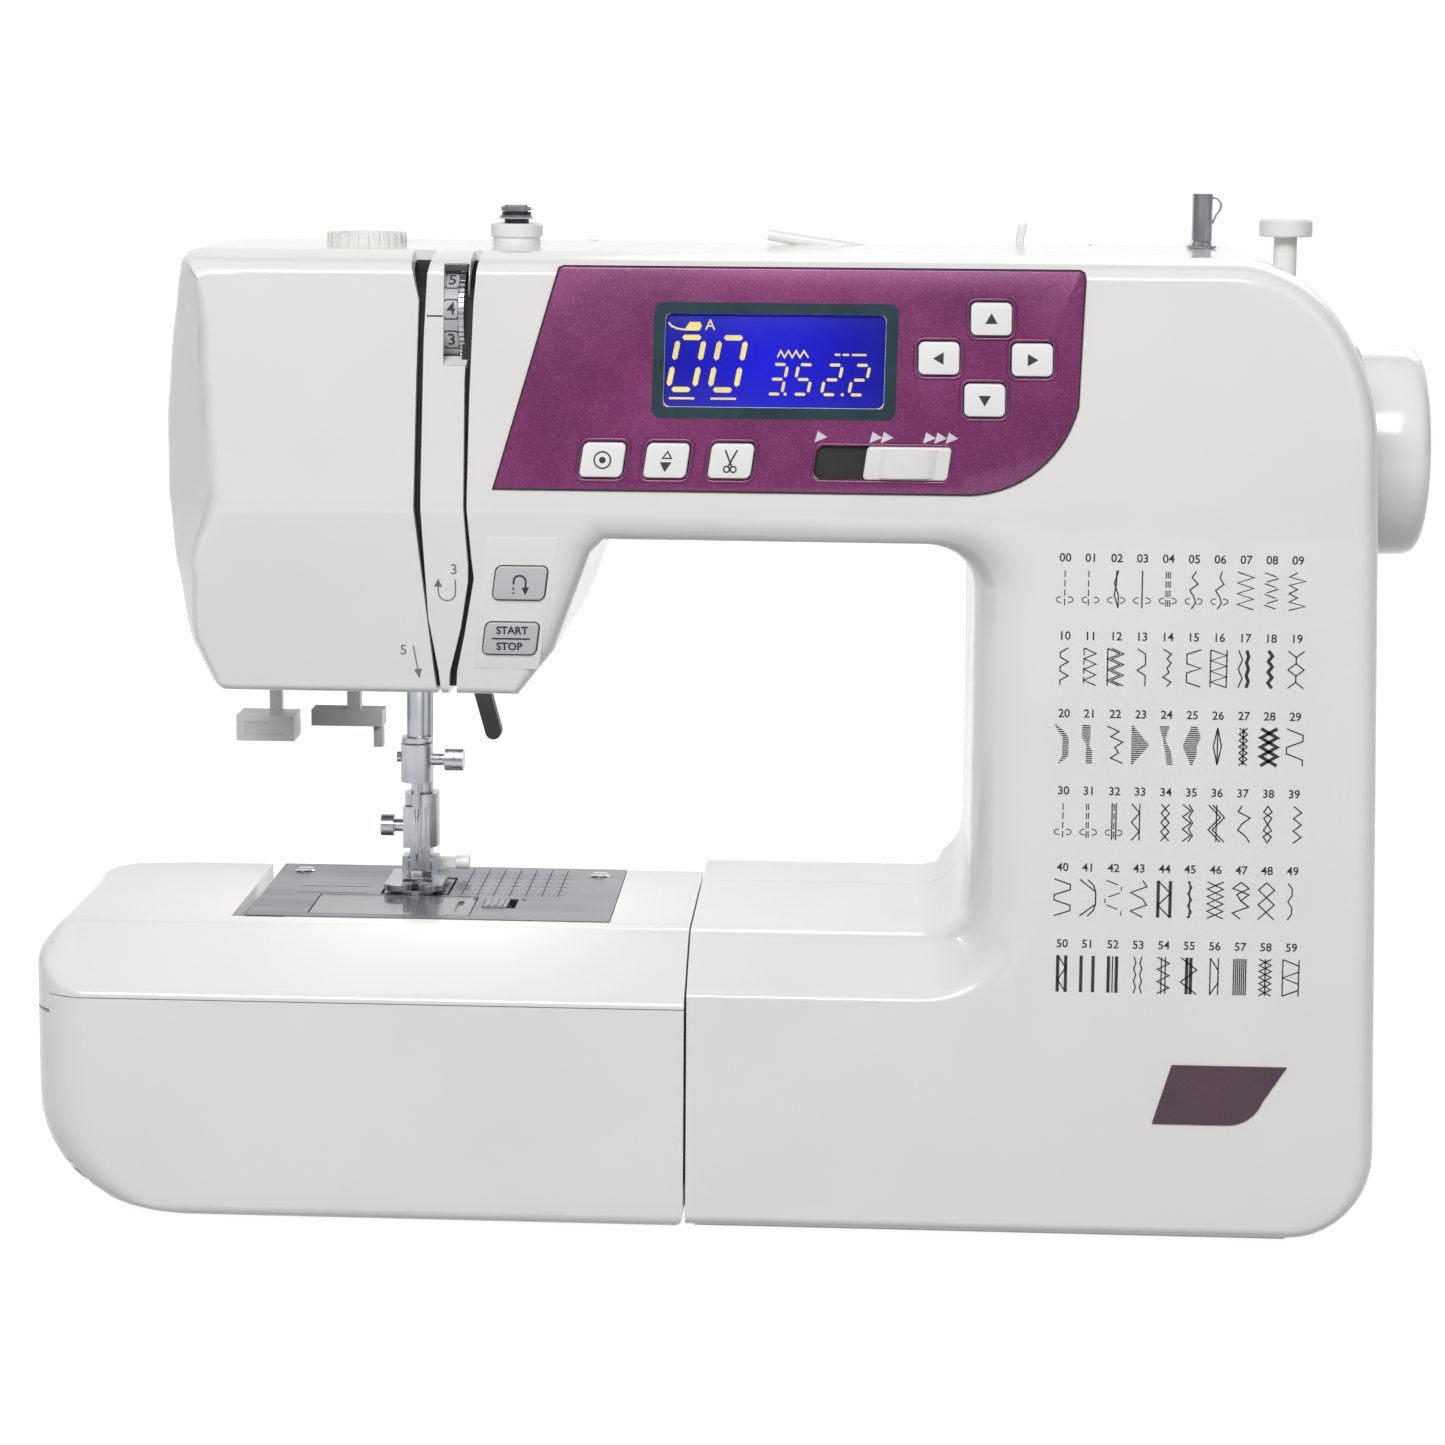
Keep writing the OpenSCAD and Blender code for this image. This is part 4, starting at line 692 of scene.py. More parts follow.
@dataclass
class Shell:
    """A hollow moulding, open at its back, lofted from its face over its rim to its seam.

    Attributes:
        outline: The outline with its rims.
        face: Depth of the face at an X and a Z.
        seam: Depth of the open back, which may lie in front of or behind the face.
        wall: Wall thickness.
        rows: Heights at which the face gets a row of points.
        columns: X values at which the face gets a column of points.
    """
    outline: Outline
    face: Callable[[float, float], float]
    seam: float
    wall: float = 2.6
    rows: Sequence[float] = ()
    columns: Sequence[float] = ()

    def side(self) -> int:
        """Tell whether the seam lies behind the face (1) or in front of it (-1)."""
        first = self.outline.knots[0]
        return 1 if self.seam > self.face(first.x, first.z) else -1

    def ring(self, knots: Sequence[Knot], step: int, wall: float) -> list[Vector]:
        """Give a ring of points on the rim.

        Args:
            knots: The outline's knots.
            step: Place on the rim's profile, from the face to the side.
            wall: Distance inside the outer surface.

        Returns:
            The ring's points.
        """
        side = self.side()
        shares = [rim_profile(knot.swell)[step] for knot in knots]
        spots = [Knot(k.x, k.z, k.before * reach, k.after * reach, 0, 0) for k, (reach, _) in zip(knots, shares)]
        return [at(x, self.face(x, z) + side * (wall + max(knot.deep - wall, 0.2) * sink), z)
                for knot, (x, z), (_, sink) in zip(knots, drawn_in(spots, wall), shares)]

    def build(self, name: str) -> bpy.types.Object:
        """Build the hollow moulding, open at its seam."""
        bm = bmesh.new()
        knots = self.outline.dense()
        chains = []
        for wall, step in ((0.0, 1), (self.wall, 3)):
            rings = [self.ring(knots, i, wall) for i in range(0, len(rim_profile(1.0)), step)]
            chains.append(rings + [[Vector((p.x, FRONT + self.seam * MM, p.z)) for p in rings[-1]]])
        skin(bm, chains[0] + chains[1][::-1])
        bmesh.ops.remove_doubles(bm, verts=bm.verts, dist=1e-6)
        side = self.side()
        caps = sorted((f for f in bm.faces if len(f.verts) > 30), key=lambda f: side * f.calc_center_median().y)
        for cap, depth in zip(caps, (0.0, self.wall)):
            self.shape_cap(bm, cap, depth)
        return to_object(name, bm)

    def shape_cap(self, bm: BMesh, cap: bmesh.types.BMFace, wall: float) -> None:
        """Divide a face at the rows and columns and lay its points on the face's depth.

        Args:
            bm: The mesh.
            cap: The flat face.
            wall: Distance inside the outer surface.
        """
        faces = bmesh.ops.triangulate(bm, faces=[cap])["faces"]
        side = self.side()
        cuts = [((0, 0, z * MM), (0, 0, 1)) for z in self.rows] + [((x * MM, 0, 0), (1, 0, 0)) for x in self.columns]
        for spot, normal in cuts:
            geometry = set(faces) | {e for f in faces for e in f.edges} | {v for f in faces for v in f.verts}
            done = bmesh.ops.bisect_plane(bm, geom=list(geometry), plane_co=spot, plane_no=normal, dist=1e-6)
            faces = [f for f in done["geom"] if isinstance(f, bmesh.types.BMFace)]
        for vert in {v for f in faces for v in f.verts}:
            x, z = vert.co.x / MM, vert.co.z / MM
            vert.co.y = FRONT + (self.face(x, z) + side * wall) * MM


def block(x: Spot, depth: Spot, z: Spot, bm: Optional[BMesh] = None) -> BMesh:
    """Give a plain box for cutting, in a new mesh or added to bm."""
    bm = bm or bmesh.new()
    skin(bm, [[at(x[i], d, z[j]) for i, j in ((0, 0), (1, 0), (1, 1), (0, 1))] for d in depth])
    return bm


def bend(t: float, radius: float) -> float:
    """Give t where it is above zero, with the corner at zero rounded."""
    return 0.0 if t < -radius else t if t > radius else (t + radius) ** 2 / (4 * radius)


def eased(line: Flat, t: float, radius: float) -> float:
    """Read a broken line at t, with its corners rounded over a radius."""
    total = 0.0
    for step in (t + radius * k / 4 for k in range(-4, 5)):
        spot = min(max(step, line[0][0]), line[-1][0])
        for (a, low), (b, high) in zip(line, line[1:]):
            if a <= spot <= b:
                total += low + (high - low) * (spot - a) / (b - a)
                break
    return total / 9


@dataclass
class Key:
    """A key of the panel: its middle, its size, how far it leans to the right, and the node and body that it is."""
    x: float
    z: float
    size: Spot
    lean: float
    node: str

    @property
    def body(self) -> str:
        """Give the name of the body that moves with the key."""
        return self.node.replace("_", " ")

    def outline(self, grow: float, radius: float = 1.6) -> Path:
        """Give the key's outline, grown on all sides."""
        flat = round_box(self.size[0] + 2 * grow, self.size[1] + 2 * grow, radius + max(grow, 0.0))
        return [(self.x + u + self.lean * v, self.z + v) for u, v in flat]


@dataclass(frozen=True)
class Slot:
    """A slot for the thread: its left and right edge as pairs of height and X, from below to above."""
    left: Flat
    right: Flat

    def outline(self) -> Path:
        """Give the slot's outline as X and Z."""
        return [(x, z) for z, x in self.right] + [(x, z) for z, x in reversed(self.left)]


@dataclass
class Casing:
    """The white casing: front half, rear half and the parts of the free arm.

    Sizes in millimetres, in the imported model's frame.
    """
    crease: float = 213.0
    upper_tilt: float = 7 / 67
    lower_tilt: float = 8 / 55
    seam: float = 86.0
    seam_gap: float = 0.3
    top: float = 286.5
    arm_under: float = 204.5
    head_under: float = 158.0
    bed: float = 85.0
    base: float = 1.5
    join_x: float = -11.4
    right: float = 189.3
    keys: tuple[Key, ...] = field(default_factory=lambda: (
        Key(74.2, 269.2, (11.6, 9.2), 0.0, "up_button"), Key(59.5, 258.0, (11.6, 9.2), 0.0, "left_button"),
        Key(85.9, 257.8, (11.6, 9.2), 0.0, "right_button"), Key(72.6, 246.3, (11.6, 9.2), 0.0, "down_button"),
        Key(-35.9, 228.2, (12.2, 9.8), 0.14, "needle_stop_button"),
        Key(-17.6, 228.2, (12.2, 9.8), 0.14, "needle_position_button"),
        Key(0.8, 228.3, (12.2, 9.8), 0.14, "thread_cutter_button"),
        Key(-59.9, 191.9, (14.8, 9.8), 0.14, "reverse_button"),
        Key(-62.9, 175.3, (15.4, 9.4), 0.14, "start_stop_button"),
        Key(43.8, 228.1, (37.4, 8.8), 0.14, "speed_slider"), Key(12.8, 256.6, (62.0, 25.6), 0.02, "lcd_screen")))
    slots: tuple[Slot, ...] = field(default_factory=lambda: (
        Slot(((156, -84.5), (165, -85.6), (197, -88.8), (213.5, -90.4), (219, -90.3), (250, -89.9), (273, -89.4),
              (289, -93.2)),
             ((156, -83.3), (165, -84.2), (181, -86.8), (213.5, -88.3), (220, -88.3), (262, -87.8), (280, -87.0),
              (289, -85.5))),
        Slot(((156, -81.6), (165, -80.9), (178, -77.5), (192, -75.1), (197, -75.0), (214, -76.0), (250, -76.0),
              (281, -74.7), (289, -75.2)),
             ((156, -79.3), (165, -78.8), (177, -76.2), (193, -73.3), (199, -73.9), (214, -75.0), (246, -74.5),
              (272, -73.6), (289, -72.2)))))
    dial_window: tuple[Spot, Spot, Spot] = ((-82.2, -75.0), (-2, 30), (254.3, 283.1))
    head_opening: tuple[Spot, Spot] = ((-150, -66), (153, 166))
    base_opening: tuple[Spot, Spot] = ((-8.8, 164), (-1, 12))
    join_opening: tuple[Spot, Spot] = ((-12.4, -6.4), (-1, 82.4))
    recess: tuple[Spot, Spot] = ((-48, 108), (88.3, 121.3))
    recess_floor: float = 271

    def face(self, x: float, z: float) -> float:
        """Give the front face's depth: it leans back above the crease, and below it on the head."""
        lean = smooth((60 - x) / 100) if z > self.bed + 30 else 0.0
        radius = 2.5 + 12 * smooth((x - 70) / 60)
        return self.upper_tilt * bend(z - self.crease, radius) + lean * self.lower_tilt * bend(self.crease - z, 2.5)

    def outline(self, rear: bool) -> Outline:
        """Give the outline with the front half's or the rear half's rims."""
        r = Rim
        if rear:
            edge, side, low = r(6, 6), r(8, 8), r(3, 3)
            head = [r(10, 12)] * 6
            under, post, bed = r(4, 5), r(10, 12), r(3, 4)
            crown = r(9, 12)
        else:
            edge, side, low = r(4, 5), r(6.5, 8), r(2.4, 3)
            head = [r(11, 17, 0.5), r(17, 26, 0.4), r(20.7, 30, 0.35), r(22, 30, 0.3), r(11.3, 24, 0.35),
                    r(5.4, 14, 0.6)]
            under, post, bed = r(7.5, 5), r(21.4, 20), r(14.3, 26, 0.22)
            crown = r(6.5, 17)
        shape = Outline()
        shape.run([(self.join_x, self.base)], edge)
        shape.knots[0].before = 0.3
        right = self.right
        shape.run(arc(right - 25, self.base + 25, 25, 25, -90, 0), edge, side)
        shape.run(arc(right - 45.4, self.top - 54, 40.7, 54, 0, 90, 14), side, crown)
        shape.run(arc(-155.8, self.top - 6, 6, 6, 90, 165, 5), crown, head[0])
        for spot, rim in zip(((-165.7, 262), (-168, 238), (-167.5, 214), (-164.6, 194), (-158.6, 172)), head[1:]):
            shape.run([spot], rim)
        shape.run(arc(-147, self.head_under + 6, 6, 6, 210, 270, 5), r(4, 8, 0.8), low)
        shape.run([(-61.4, self.head_under)], low)
        shape.run([(-50.9, 171), (-40, self.arm_under - 4)], r(5, 7), r(8, 6))
        shape.run([(-36, self.arm_under)], under)
        shape.run(arc(56, self.arm_under - 15, 15, 15, 90, 0), under, post)
        shape.run(arc(56, self.bed + 15, 15, 15, 0, -90), post, bed)
        shape.run([(self.join_x, self.bed)], bed)
        shape.knots[-1].after = 0.3
        return shape

    def rear_face(self, x: float, z: float) -> float:
        """Give the rear face's depth: the arm, the column with its slanted flank, and the base that stands out."""
        arm = eased(((158, 116), (174, 128), (250, 128), (286.5, 116)), z, 5)
        post = eased(((58, 160), (76, 140), (232, 140), (262, 132), (286.5, 114)), z, 6)
        bed = eased(((56, 160), (80, 124), (85, 115)), z, 3)
        flank = eased(((65, 128), (88, 140)), x, 4)
        low = post if x > 88 else min(post, flank)
        if z > 100:
            return low + (arm - 128) * (1 - smooth((x - 65) / 23)) if x < 88 else post
        return max(bed, low) if x > 65 else bed

    def handle_recess(self) -> BMesh:
        """Give the walls and the floor of the recess that the carrying handle folds into."""
        bm = bmesh.new()
        (left, right), (front, back) = self.recess
        low, thick = self.recess_floor - 2.5, 3
        side = [(front, low), (back - 0.1, low), (115.6, 285.9), (front, 285.9)]
        for x in ((left - thick, left), (right, right + thick)):
            skin(bm, [[at(k, d, z) for d, z in side] for k in x])
        block((left, right), (front, back), (low, self.recess_floor), bm)
        return block((left, right), (front - 1.9, front), (low, 284.5), bm)

    def build(self) -> None:
        """Build both halves of the casing."""
        self.build_front()
        self.build_rear()
        make("handle_recess", self.handle_recess(), WHITE, "machine", "body_plastic")

    def build_front(self) -> None:
        """Build the front half with the openings for its keys, its screen, its slots and its dial."""
        rows = [self.crease + k for k in (-14, -10, -6.5, -4, -2.5, -1.2, 0, 1.2, 2.5, 4, 6.5, 10, 14)]
        shell = Shell(self.outline(False), self.face, self.seam, rows=rows, columns=(62, 72, 84, 96))
        front = shell.build("front_casing")
        tools = bmesh.new()
        for (x, z), depths in ((self.head_opening, (22, 87)), (self.base_opening, (2.6, 87)),
                               (self.join_opening, (30, 87))):
            block(x, depths, z, tools)
        prisms = [(key.outline(0.4), (-1, 14)) for key in self.keys]
        for outline, depths in prisms + [(slot.outline(), (-5, 22)) for slot in self.slots]:
            skin(tools, [[at(x, d, z) for x, z in outline] for d in depths])
        cut(front, tools)
        cut(front, block(*self.dial_window))
        dress(front, CASE, "machine", "body_plastic", "front_cover", even=True)

    def build_rear(self) -> None:
        """Build the rear half with the handle's recess and the vents."""
        rows = [40, 50, 53, 56, 59, 62, 66, 70, 73, 76, 79, 82, 178, 184, 226, 229, 232, 235, 238, 245, 248, 251,
                254, 257, 260, 263, 266, 270, 274, 278]
        shell = Shell(self.outline(True), self.rear_face, self.seam + self.seam_gap, rows=rows,
                      columns=(61, 63, 65, 67, 69, 72, 76, 80, 84, 86, 88, 90, 92))
        rear = shell.build("rear_casing")
        tools = block(self.recess[0], (self.recess[1][0], 160), (self.recess_floor, 290))
        for (x, z), depths in ((self.base_opening, (85, 157.4)), (self.head_opening, (85, 106)),
                               (self.join_opening, (85, 97))):
            block(x, depths, z, tools)
        for k in range(7):
            block((100 + 9 * k, 104 + 9 * k), (134, 142), (110, 150), tools)
        cut(rear, tools)
        dress(rear, CASE, "machine", "body_plastic", "rear_cover", even=True)


@dataclass
class ExtensionTable:
    """The slide-off table with its storage room, and the lid that is its whole front.

    Sizes in millimetres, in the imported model's frame.
    """
    left: float = -206.2
    right: float = -11.9
    back: float = 97.0
    top: float = 85.0
    bottom: float = 1.0
    slant: Spot = (26.0, 17.5)
    end_rim: Spot = (8.0, 11.0)
    corner: float = 18.0
    back_corner: Spot = (12.0, 14.0)
    end_curve: float = 34.0
    foot: float = 4.0
    wall: float = 2.6
    lid_wall: float = 2.4
    lid_hinge: Spot = (5, 7)
    lid_swing: float = 6.7
    levels: tuple[float, ...] = (60, 46, 35, 30, 25, 20, 16, 12, 9)

    def plan(self, inside: float) -> list[tuple[Spot, Spot, Spot]]:
        """Give the outline from above, from the left front corner round to it again, anticlockwise.

        Args:
            inside: Distance inside the outer surface.

        Returns:
            For each point its place under the rim, its place on the top, and how deep and how round the rim is.
        """
        i, r, (run, drop), (reach, deep) = inside, self.corner - inside, self.slant, self.end_rim
        left, right, back = self.left + i, self.right - i, self.back - i
        front = [(left + r + (right - left - r) * k / 30, i) for k in range(31)]
        knots = [((x, y), (max(x, left + reach + 2), run + i / 2), (drop, 0.2)) for x, y in front]
        for spot in [(right, y) for y in (40, 60, back)] + [(x, back) for x in (-60, -110, -150, left + 30)]:
            knots.append((spot, spot, (0.3, 0.5)))
        wide, long = self.back_corner
        for x, y in arc(left + wide, back - long, wide - i / 2, long - i / 2, 90, 180, 8):
            knots.append(((x, y), (x + (left + 30 - x) * 0.2, y - 2.0 * (y - back + long) / long), (deep, 0.7)))
        knots += [((left, y), (left + reach, y), (deep, 0.7)) for y in (70, 55, 40)]
        for k, (x, y) in enumerate(arc(left + r, i + r, r, r, 180, 270, 14)[:-1]):
            t, turn = smooth(k / 14), math.radians(180 + 90 * k / 14)
            over = (left + reach + 2 + 2 * math.cos(turn), run + i / 2 + 2 + 2 * math.sin(turn))
            knots.append(((x, y), over, (deep + (drop - deep) * t, 0.7 - 0.5 * t)))
        return knots

    def loft(self, inside: float) -> BMesh:
        """Give the table's closed form, from its top plane down to its rounded foot.

        Args:
            inside: Distance inside the outer surface.

        Returns:
            The form's mesh.
        """
        knots, rings = self.plan(inside), []
        outer = [spot for spot, _, _ in knots]
        for step in range(len(rim_profile(1.0))):
            ring = []
            for (x, y), (u, v), (fall, swell) in knots:
                share, sink = rim_profile(swell)[step]
                ring.append(at(x + (u - x) * share, y + (v - y) * share, self.top - inside - fall * sink))
            rings.append(ring)
        for z in self.levels:
            rings.append([self.drawn(x, y, z) for x, y in outer])
        for turn in (math.radians(a) for a in (0, 22.5, 45, 67.5, 90)):
            level = self.bottom + inside + self.foot * (1 - math.sin(turn))
            rings.append([self.drawn(x, y, level) for x, y in inset(outer, self.foot * (1 - math.cos(turn)))])
        bm = bmesh.new()
        skin(bm, rings)
        return bm

    def drawn(self, x: float, depth: float, z: float) -> Vector:
        """Give a point of the side, with the left end drawn in towards the foot."""
        low = max(self.bottom + self.end_curve - z, 0.0)
        pull = self.end_curve - math.sqrt(max(self.end_curve ** 2 - low ** 2, 0.0))
        return at(x + pull * smooth((-130 - x) / 58), depth, z)

    def lid_room(self, gap: float) -> BMesh:
        """Give the room of the lid, grown by a gap: the front up to the slant, and deeper behind its middle."""
        top = self.top - self.slant[1] - 0.5
        thin, thick, low, high = 4.6 + gap, 14 + gap, 16 - gap, top - 6 + 4 * gap
        side = [(-1, -1), (thin, -1), (thin, low), (thick, low), (thick, high), (thin, high), (thin, top + gap),
                (-1, top + gap)]
        bm = bmesh.new()
        skin(bm, [[at(x, y, z) for y, z in side] for x in (self.left - 1, self.right + 1)])
        return bm

    def build_table(self) -> None:
        """Build the table, open towards the free arm, with the room for its lid and for the lid's swing."""
        table = to_object("extension_table_shell", self.loft(0.0))
        hollow = to_object("hollow", self.loft(self.wall))
        cut(hollow, block((-155.9, 0), (27.2, 100), (-2, 90)))
        take(table, hollow)
        cut(table, block((-150.6, 0), (29.8, 100), (-2, 90)))
        cut(table, self.lid_room(0.3))
        swing, r = bmesh.new(), self.lid_swing
        turned(swing, along_x(*self.lid_hinge), [(r, self.left + 2), (r, self.right + 1)], 40)
        cut(table, swing)
        dress(table, CASE, "extension table", "body_plastic", "extension_table", even=True)

    def build(self) -> None:
        """Build the table and its lid."""
        self.build_table()
        lid = to_object("table_lid_panel", self.loft(0.0))
        cut(lid, self.loft(self.lid_wall))
        cut(lid, self.lid_room(0.0), keep=True)
        dress(lid, CASE, "table lid", "body_plastic", "table_lid", even=True)


def ring_frame(bm: BMesh, outer: Flat, inner: Flat, place: Place, low: float, high: float, edge: float = 0.3) -> None:
    """Raise the band between two outlines with equal numbers of points into a frame with eased edges."""
    levels = ((outer, 0.0, low), (outer, 0.0, high - edge), (outer, edge, high), (inner, -edge, high),
              (inner, 0.0, high - edge), (inner, 0.0, low))
    skin(bm, [[place(u, v, h) for u, v in inset(line, by)] for line, by, h in levels], (False, False), True)


@dataclass
class OnCasing:
    """Pieces that follow the casing's front."""
    casing: Casing

    def on(self, x: float, z: float, high: float) -> Vector:
        """Give a point at a height over the casing's front."""
        return at(x, self.casing.face(x, z) - high, z)

    def raised(self, by: float) -> Place:
        """Give a place like on(), with its heights counted from a level over the casing."""
        return lambda x, z, high: self.on(x, z, high + by)


@dataclass
class ControlPanel(OnCasing):
    """The flake film with its screen, keys and speed slider, on the arm's leaning front.

    Sizes in millimetres.
    """
    screen: Key = field(default_factory=lambda: Key(12.9, 256.6, (69.6, 33.0), 0.02, "lcd_screen"))
    window: Key = field(default_factory=lambda: Key(12.8, 256.6, (63.0, 26.6), 0.02, "lcd_screen"))
    slot: Key = field(default_factory=lambda: Key(43.8, 228.1, (38.2, 9.6), 0.14, "speed_slider"))
    knob: Key = field(default_factory=lambda: Key(50.9, 228.1, (24.0, 9.4), 0.14, "speed_slider"))
    film: float = 0.7
    glass: float = -0.9
    lit_level: float = -0.88
    key_top: float = 1.5

    def outline(self) -> Path:
        """Give the film's outline."""
        corner = arc(67.5, 252.5, 32.5, 33.0, -88, -14, 14)
        return ([(-67.2, 219.6)] + corner + [(100.6, 280.6), (100.2, 282.3), (99.0, 282.9)]
                + [(-47.6, 282.9), (-49.0, 282.4)])

    def build(self) -> None:
        """Build the film, the screen, the keys and the slider."""
        self.build_film()
        self.build_screen()
        self.build_segments()
        for key in self.casing.keys[:7]:
            self.build_key(key)
        self.build_slider()

    def build_film(self) -> None:
        """Build the film with its openings, the frames round them, and a dark line of painted shade for the gap round
        its edge.
        """
        bm = bmesh.new()
        slab(bm, self.outline(), self.on, -0.3, self.film, 0.45)
        film = to_object("panel_film", bm, 40)
        holes, keys = bmesh.new(), self.casing.keys[:7]
        for key, grow in [(k, 0.5) for k in keys] + [(self.slot, 0.0), (self.window, 0.0)]:
            slab(holes, key.outline(grow), self.on, -2.5, 3.0, 0.0)
        cut(film, holes)
        rims = bmesh.new()
        for key in keys:
            ring_frame(rims, key.outline(1.5), key.outline(0.5), self.on, 0.0, self.film + 0.55, 0.35)
        ring_frame(rims, self.slot.outline(0.9), self.slot.outline(0.0), self.on, 0.0, self.film + 0.45, 0.3)
        make("key_rims", rims, FILM, "machine", "panel_film", crease_deg=50)
        dress(film, FILM, "machine", "panel_film", "control_panel")
        # Painted shade: a dark line just outside the film's edge stands for the shadow in the gap round it.
        line = bmesh.new()
        ribbon(line, inset(self.outline(), -0.12), 0.5, self.on, self.film - 0.25, loop=True)
        make("panel_gap_shade", line, PAINTED_SHADE, "machine", "panel_film")

    def build_screen(self) -> None:
        """Build the screen's bezel and its glass."""
        bezel = bmesh.new()
        outer, inner = self.screen.outline(0.0, 2.6), self.window.outline(0.0, 0.5)
        ring_frame(bezel, outer, inner, self.on, -1.5, self.film + 0.06, 0.05)
        make("screen_bezel", bezel, BEZEL, "machine", "lcd_glass", crease_deg=40)
        glass = bmesh.new()
        slab(glass, self.window.outline(-0.02, 0.4), self.on, -1.6, self.glass, 0.1)
        make("screen_glass", glass, LCD, "machine", "lcd_glass", "lcd_screen")

    def digit(self, bm: BMesh, figure: str, spot: Spot, size: Spot, thick: float) -> None:
        """Light a seven-segment figure.

        Args:
            bm: The mesh that gets it.
            figure: One figure.
            spot: Its left foot.
            size: Its width and its height.
            thick: Width of a segment.
        """
        (x, z), (width, height), lean = spot, size, 0.2
        half, gap = height / 2, thick * 0.62
        ends = {"a": ((0, 2), (1, 2)), "b": ((1, 2), (1, 1)), "c": ((1, 1), (1, 0)), "d": ((0, 0), (1, 0)),
                "e": ((0, 1), (0, 0)), "f": ((0, 2), (0, 1)), "g": ((0, 1), (1, 1))}
        for name in {"0": "abcdef", "2": "abged", "3": "abgcd", "5": "afgcd"}[figure]:
            start, end = (Vector((x + a * width + lean * b * half, z + b * half)) for a, b in ends[name])
            run = (end - start).normalized()
            start, end = start + run * gap, end - run * gap
            side = Vector((-run.y, run.x)) * thick / 2
            tip = run * thick * 0.45
            shape = [start, start + tip - side, end - tip - side, end, end - tip + side, start + tip + side]
            patch(bm, [(p.x, p.y) for p in shape], self.raised(self.lit_level))

    def build_segments(self) -> None:
        """Light the stitch number, the two sizes and the small signs."""
        bm, lit = bmesh.new(), self.raised(self.lit_level)
        for x in (-17.6, -5.7):
            self.digit(bm, "0", (x, 248.2), (7.4, 14.8), 1.5)
            patch(bm, upright_box((x + 0.3, x + 7.6), (245.4, 246.0)), lit)
        for figure, x in (("3", 10.6), ("5", 18.0), ("2", 26.2), ("2", 34.0)):
            self.digit(bm, figure, (x, 247.2), (4.3, 8.4), 0.85)
        for x in (15.9, 32.2):
            patch(bm, round_box(0.9, 0.9, 0.4, 3, (x, 247.2)), lit)
        zigzag = [(14.5 + 1.1 * k, 259.5 - 1.9 * (k % 2)) for k in range(7)]
        ribbon(bm, [(13.6, 257.6)] + zigzag + [(22.4, 257.6)], 0.45, lit)
        for dash in ((29.9, 31.5), (32.2, 34.0), (34.8, 38.9)):
            patch(bm, upright_box(dash, (258.2, 258.8)), lit)
        ribbon(bm, [(-17.6, 267.2), (-16.8, 266.2), (-15.2, 265.5), (-13.0, 265.2), (-8.8, 265.2)], 0.5, lit)
        patch(bm, [(-13.0, 265.3), (-8.6, 265.3), (-8.1, 266.3), (-8.6, 267.4), (-11.6, 267.4)], lit)
        lettering(bm, "A", 3.0, (-5.7, 266.5), lit)
        make("screen_signs", bm, SEGMENT, "machine", "lcd_glass")

    def build_key(self, key: Key) -> None:
        """Build a key with its sign: an arrow, a ring and dot, a needle's two places, or scissors."""
        bm, sign, top = bmesh.new(), bmesh.new(), self.film + self.key_top
        slab(bm, key.outline(0.0), self.on, -1.2, top, 0.45, steps=5)
        make(key.node + "_cap", bm, KEY, key.body, "key_plastic", key.node, crease_deg=50)
        x, z, over = key.x, key.z, self.raised(top)
        heads = {"up_button": 90, "left_button": 180, "right_button": 0, "down_button": -90}
        if key.node in heads:
            turn = math.radians(heads[key.node])
            flat = [(1.7, 0.0), (-1.3, 1.75), (-1.3, -1.75)]
            patch(sign, [(x + u * math.cos(turn) - v * math.sin(turn), z + u * math.sin(turn) + v * math.cos(turn))
                         for u, v in flat], over)
        elif key.node == "needle_stop_button":
            ribbon(sign, arc(x, z, 2.35, 2.35, 0, 345, 23), 0.45, over, loop=True)
            patch(sign, arc(x, z, 0.95, 0.95, 0, 345, 15), over)
        elif key.node == "needle_position_button":
            up = inset([(x - 1.5, z + 0.5), (x + 1.7, z + 0.5), (x + 0.4, z + 3.0)], 0.2)
            ribbon(sign, up, 0.4, over, loop=True)
            patch(sign, [(x - 1.9, z - 0.4), (x - 0.5, z - 3.2), (x + 1.5, z - 0.4)], over)
        else:
            for side in (-1, 1):
                eye = arc(x - 0.3 + side * 0.95, z - 2.3, 0.85, 0.85, 0, 330, 11)
                ribbon(sign, eye, 0.42, over, loop=True)
                ribbon(sign, [(x - 0.3 + side * 0.5, z - 1.5), (x + 0.1 - side * 1.7, z + 3.2)], 0.5, over)
        make(key.node + "_sign", sign, INK, key.body, "key_plastic")

    def build_slider(self) -> None:
        """Build the slider's slot floor, dark with painted shade, its knob with the raised grip, and the arrowheads
        for its speeds.
        """
        bed, bm, marks = bmesh.new(), bmesh.new(), bmesh.new()
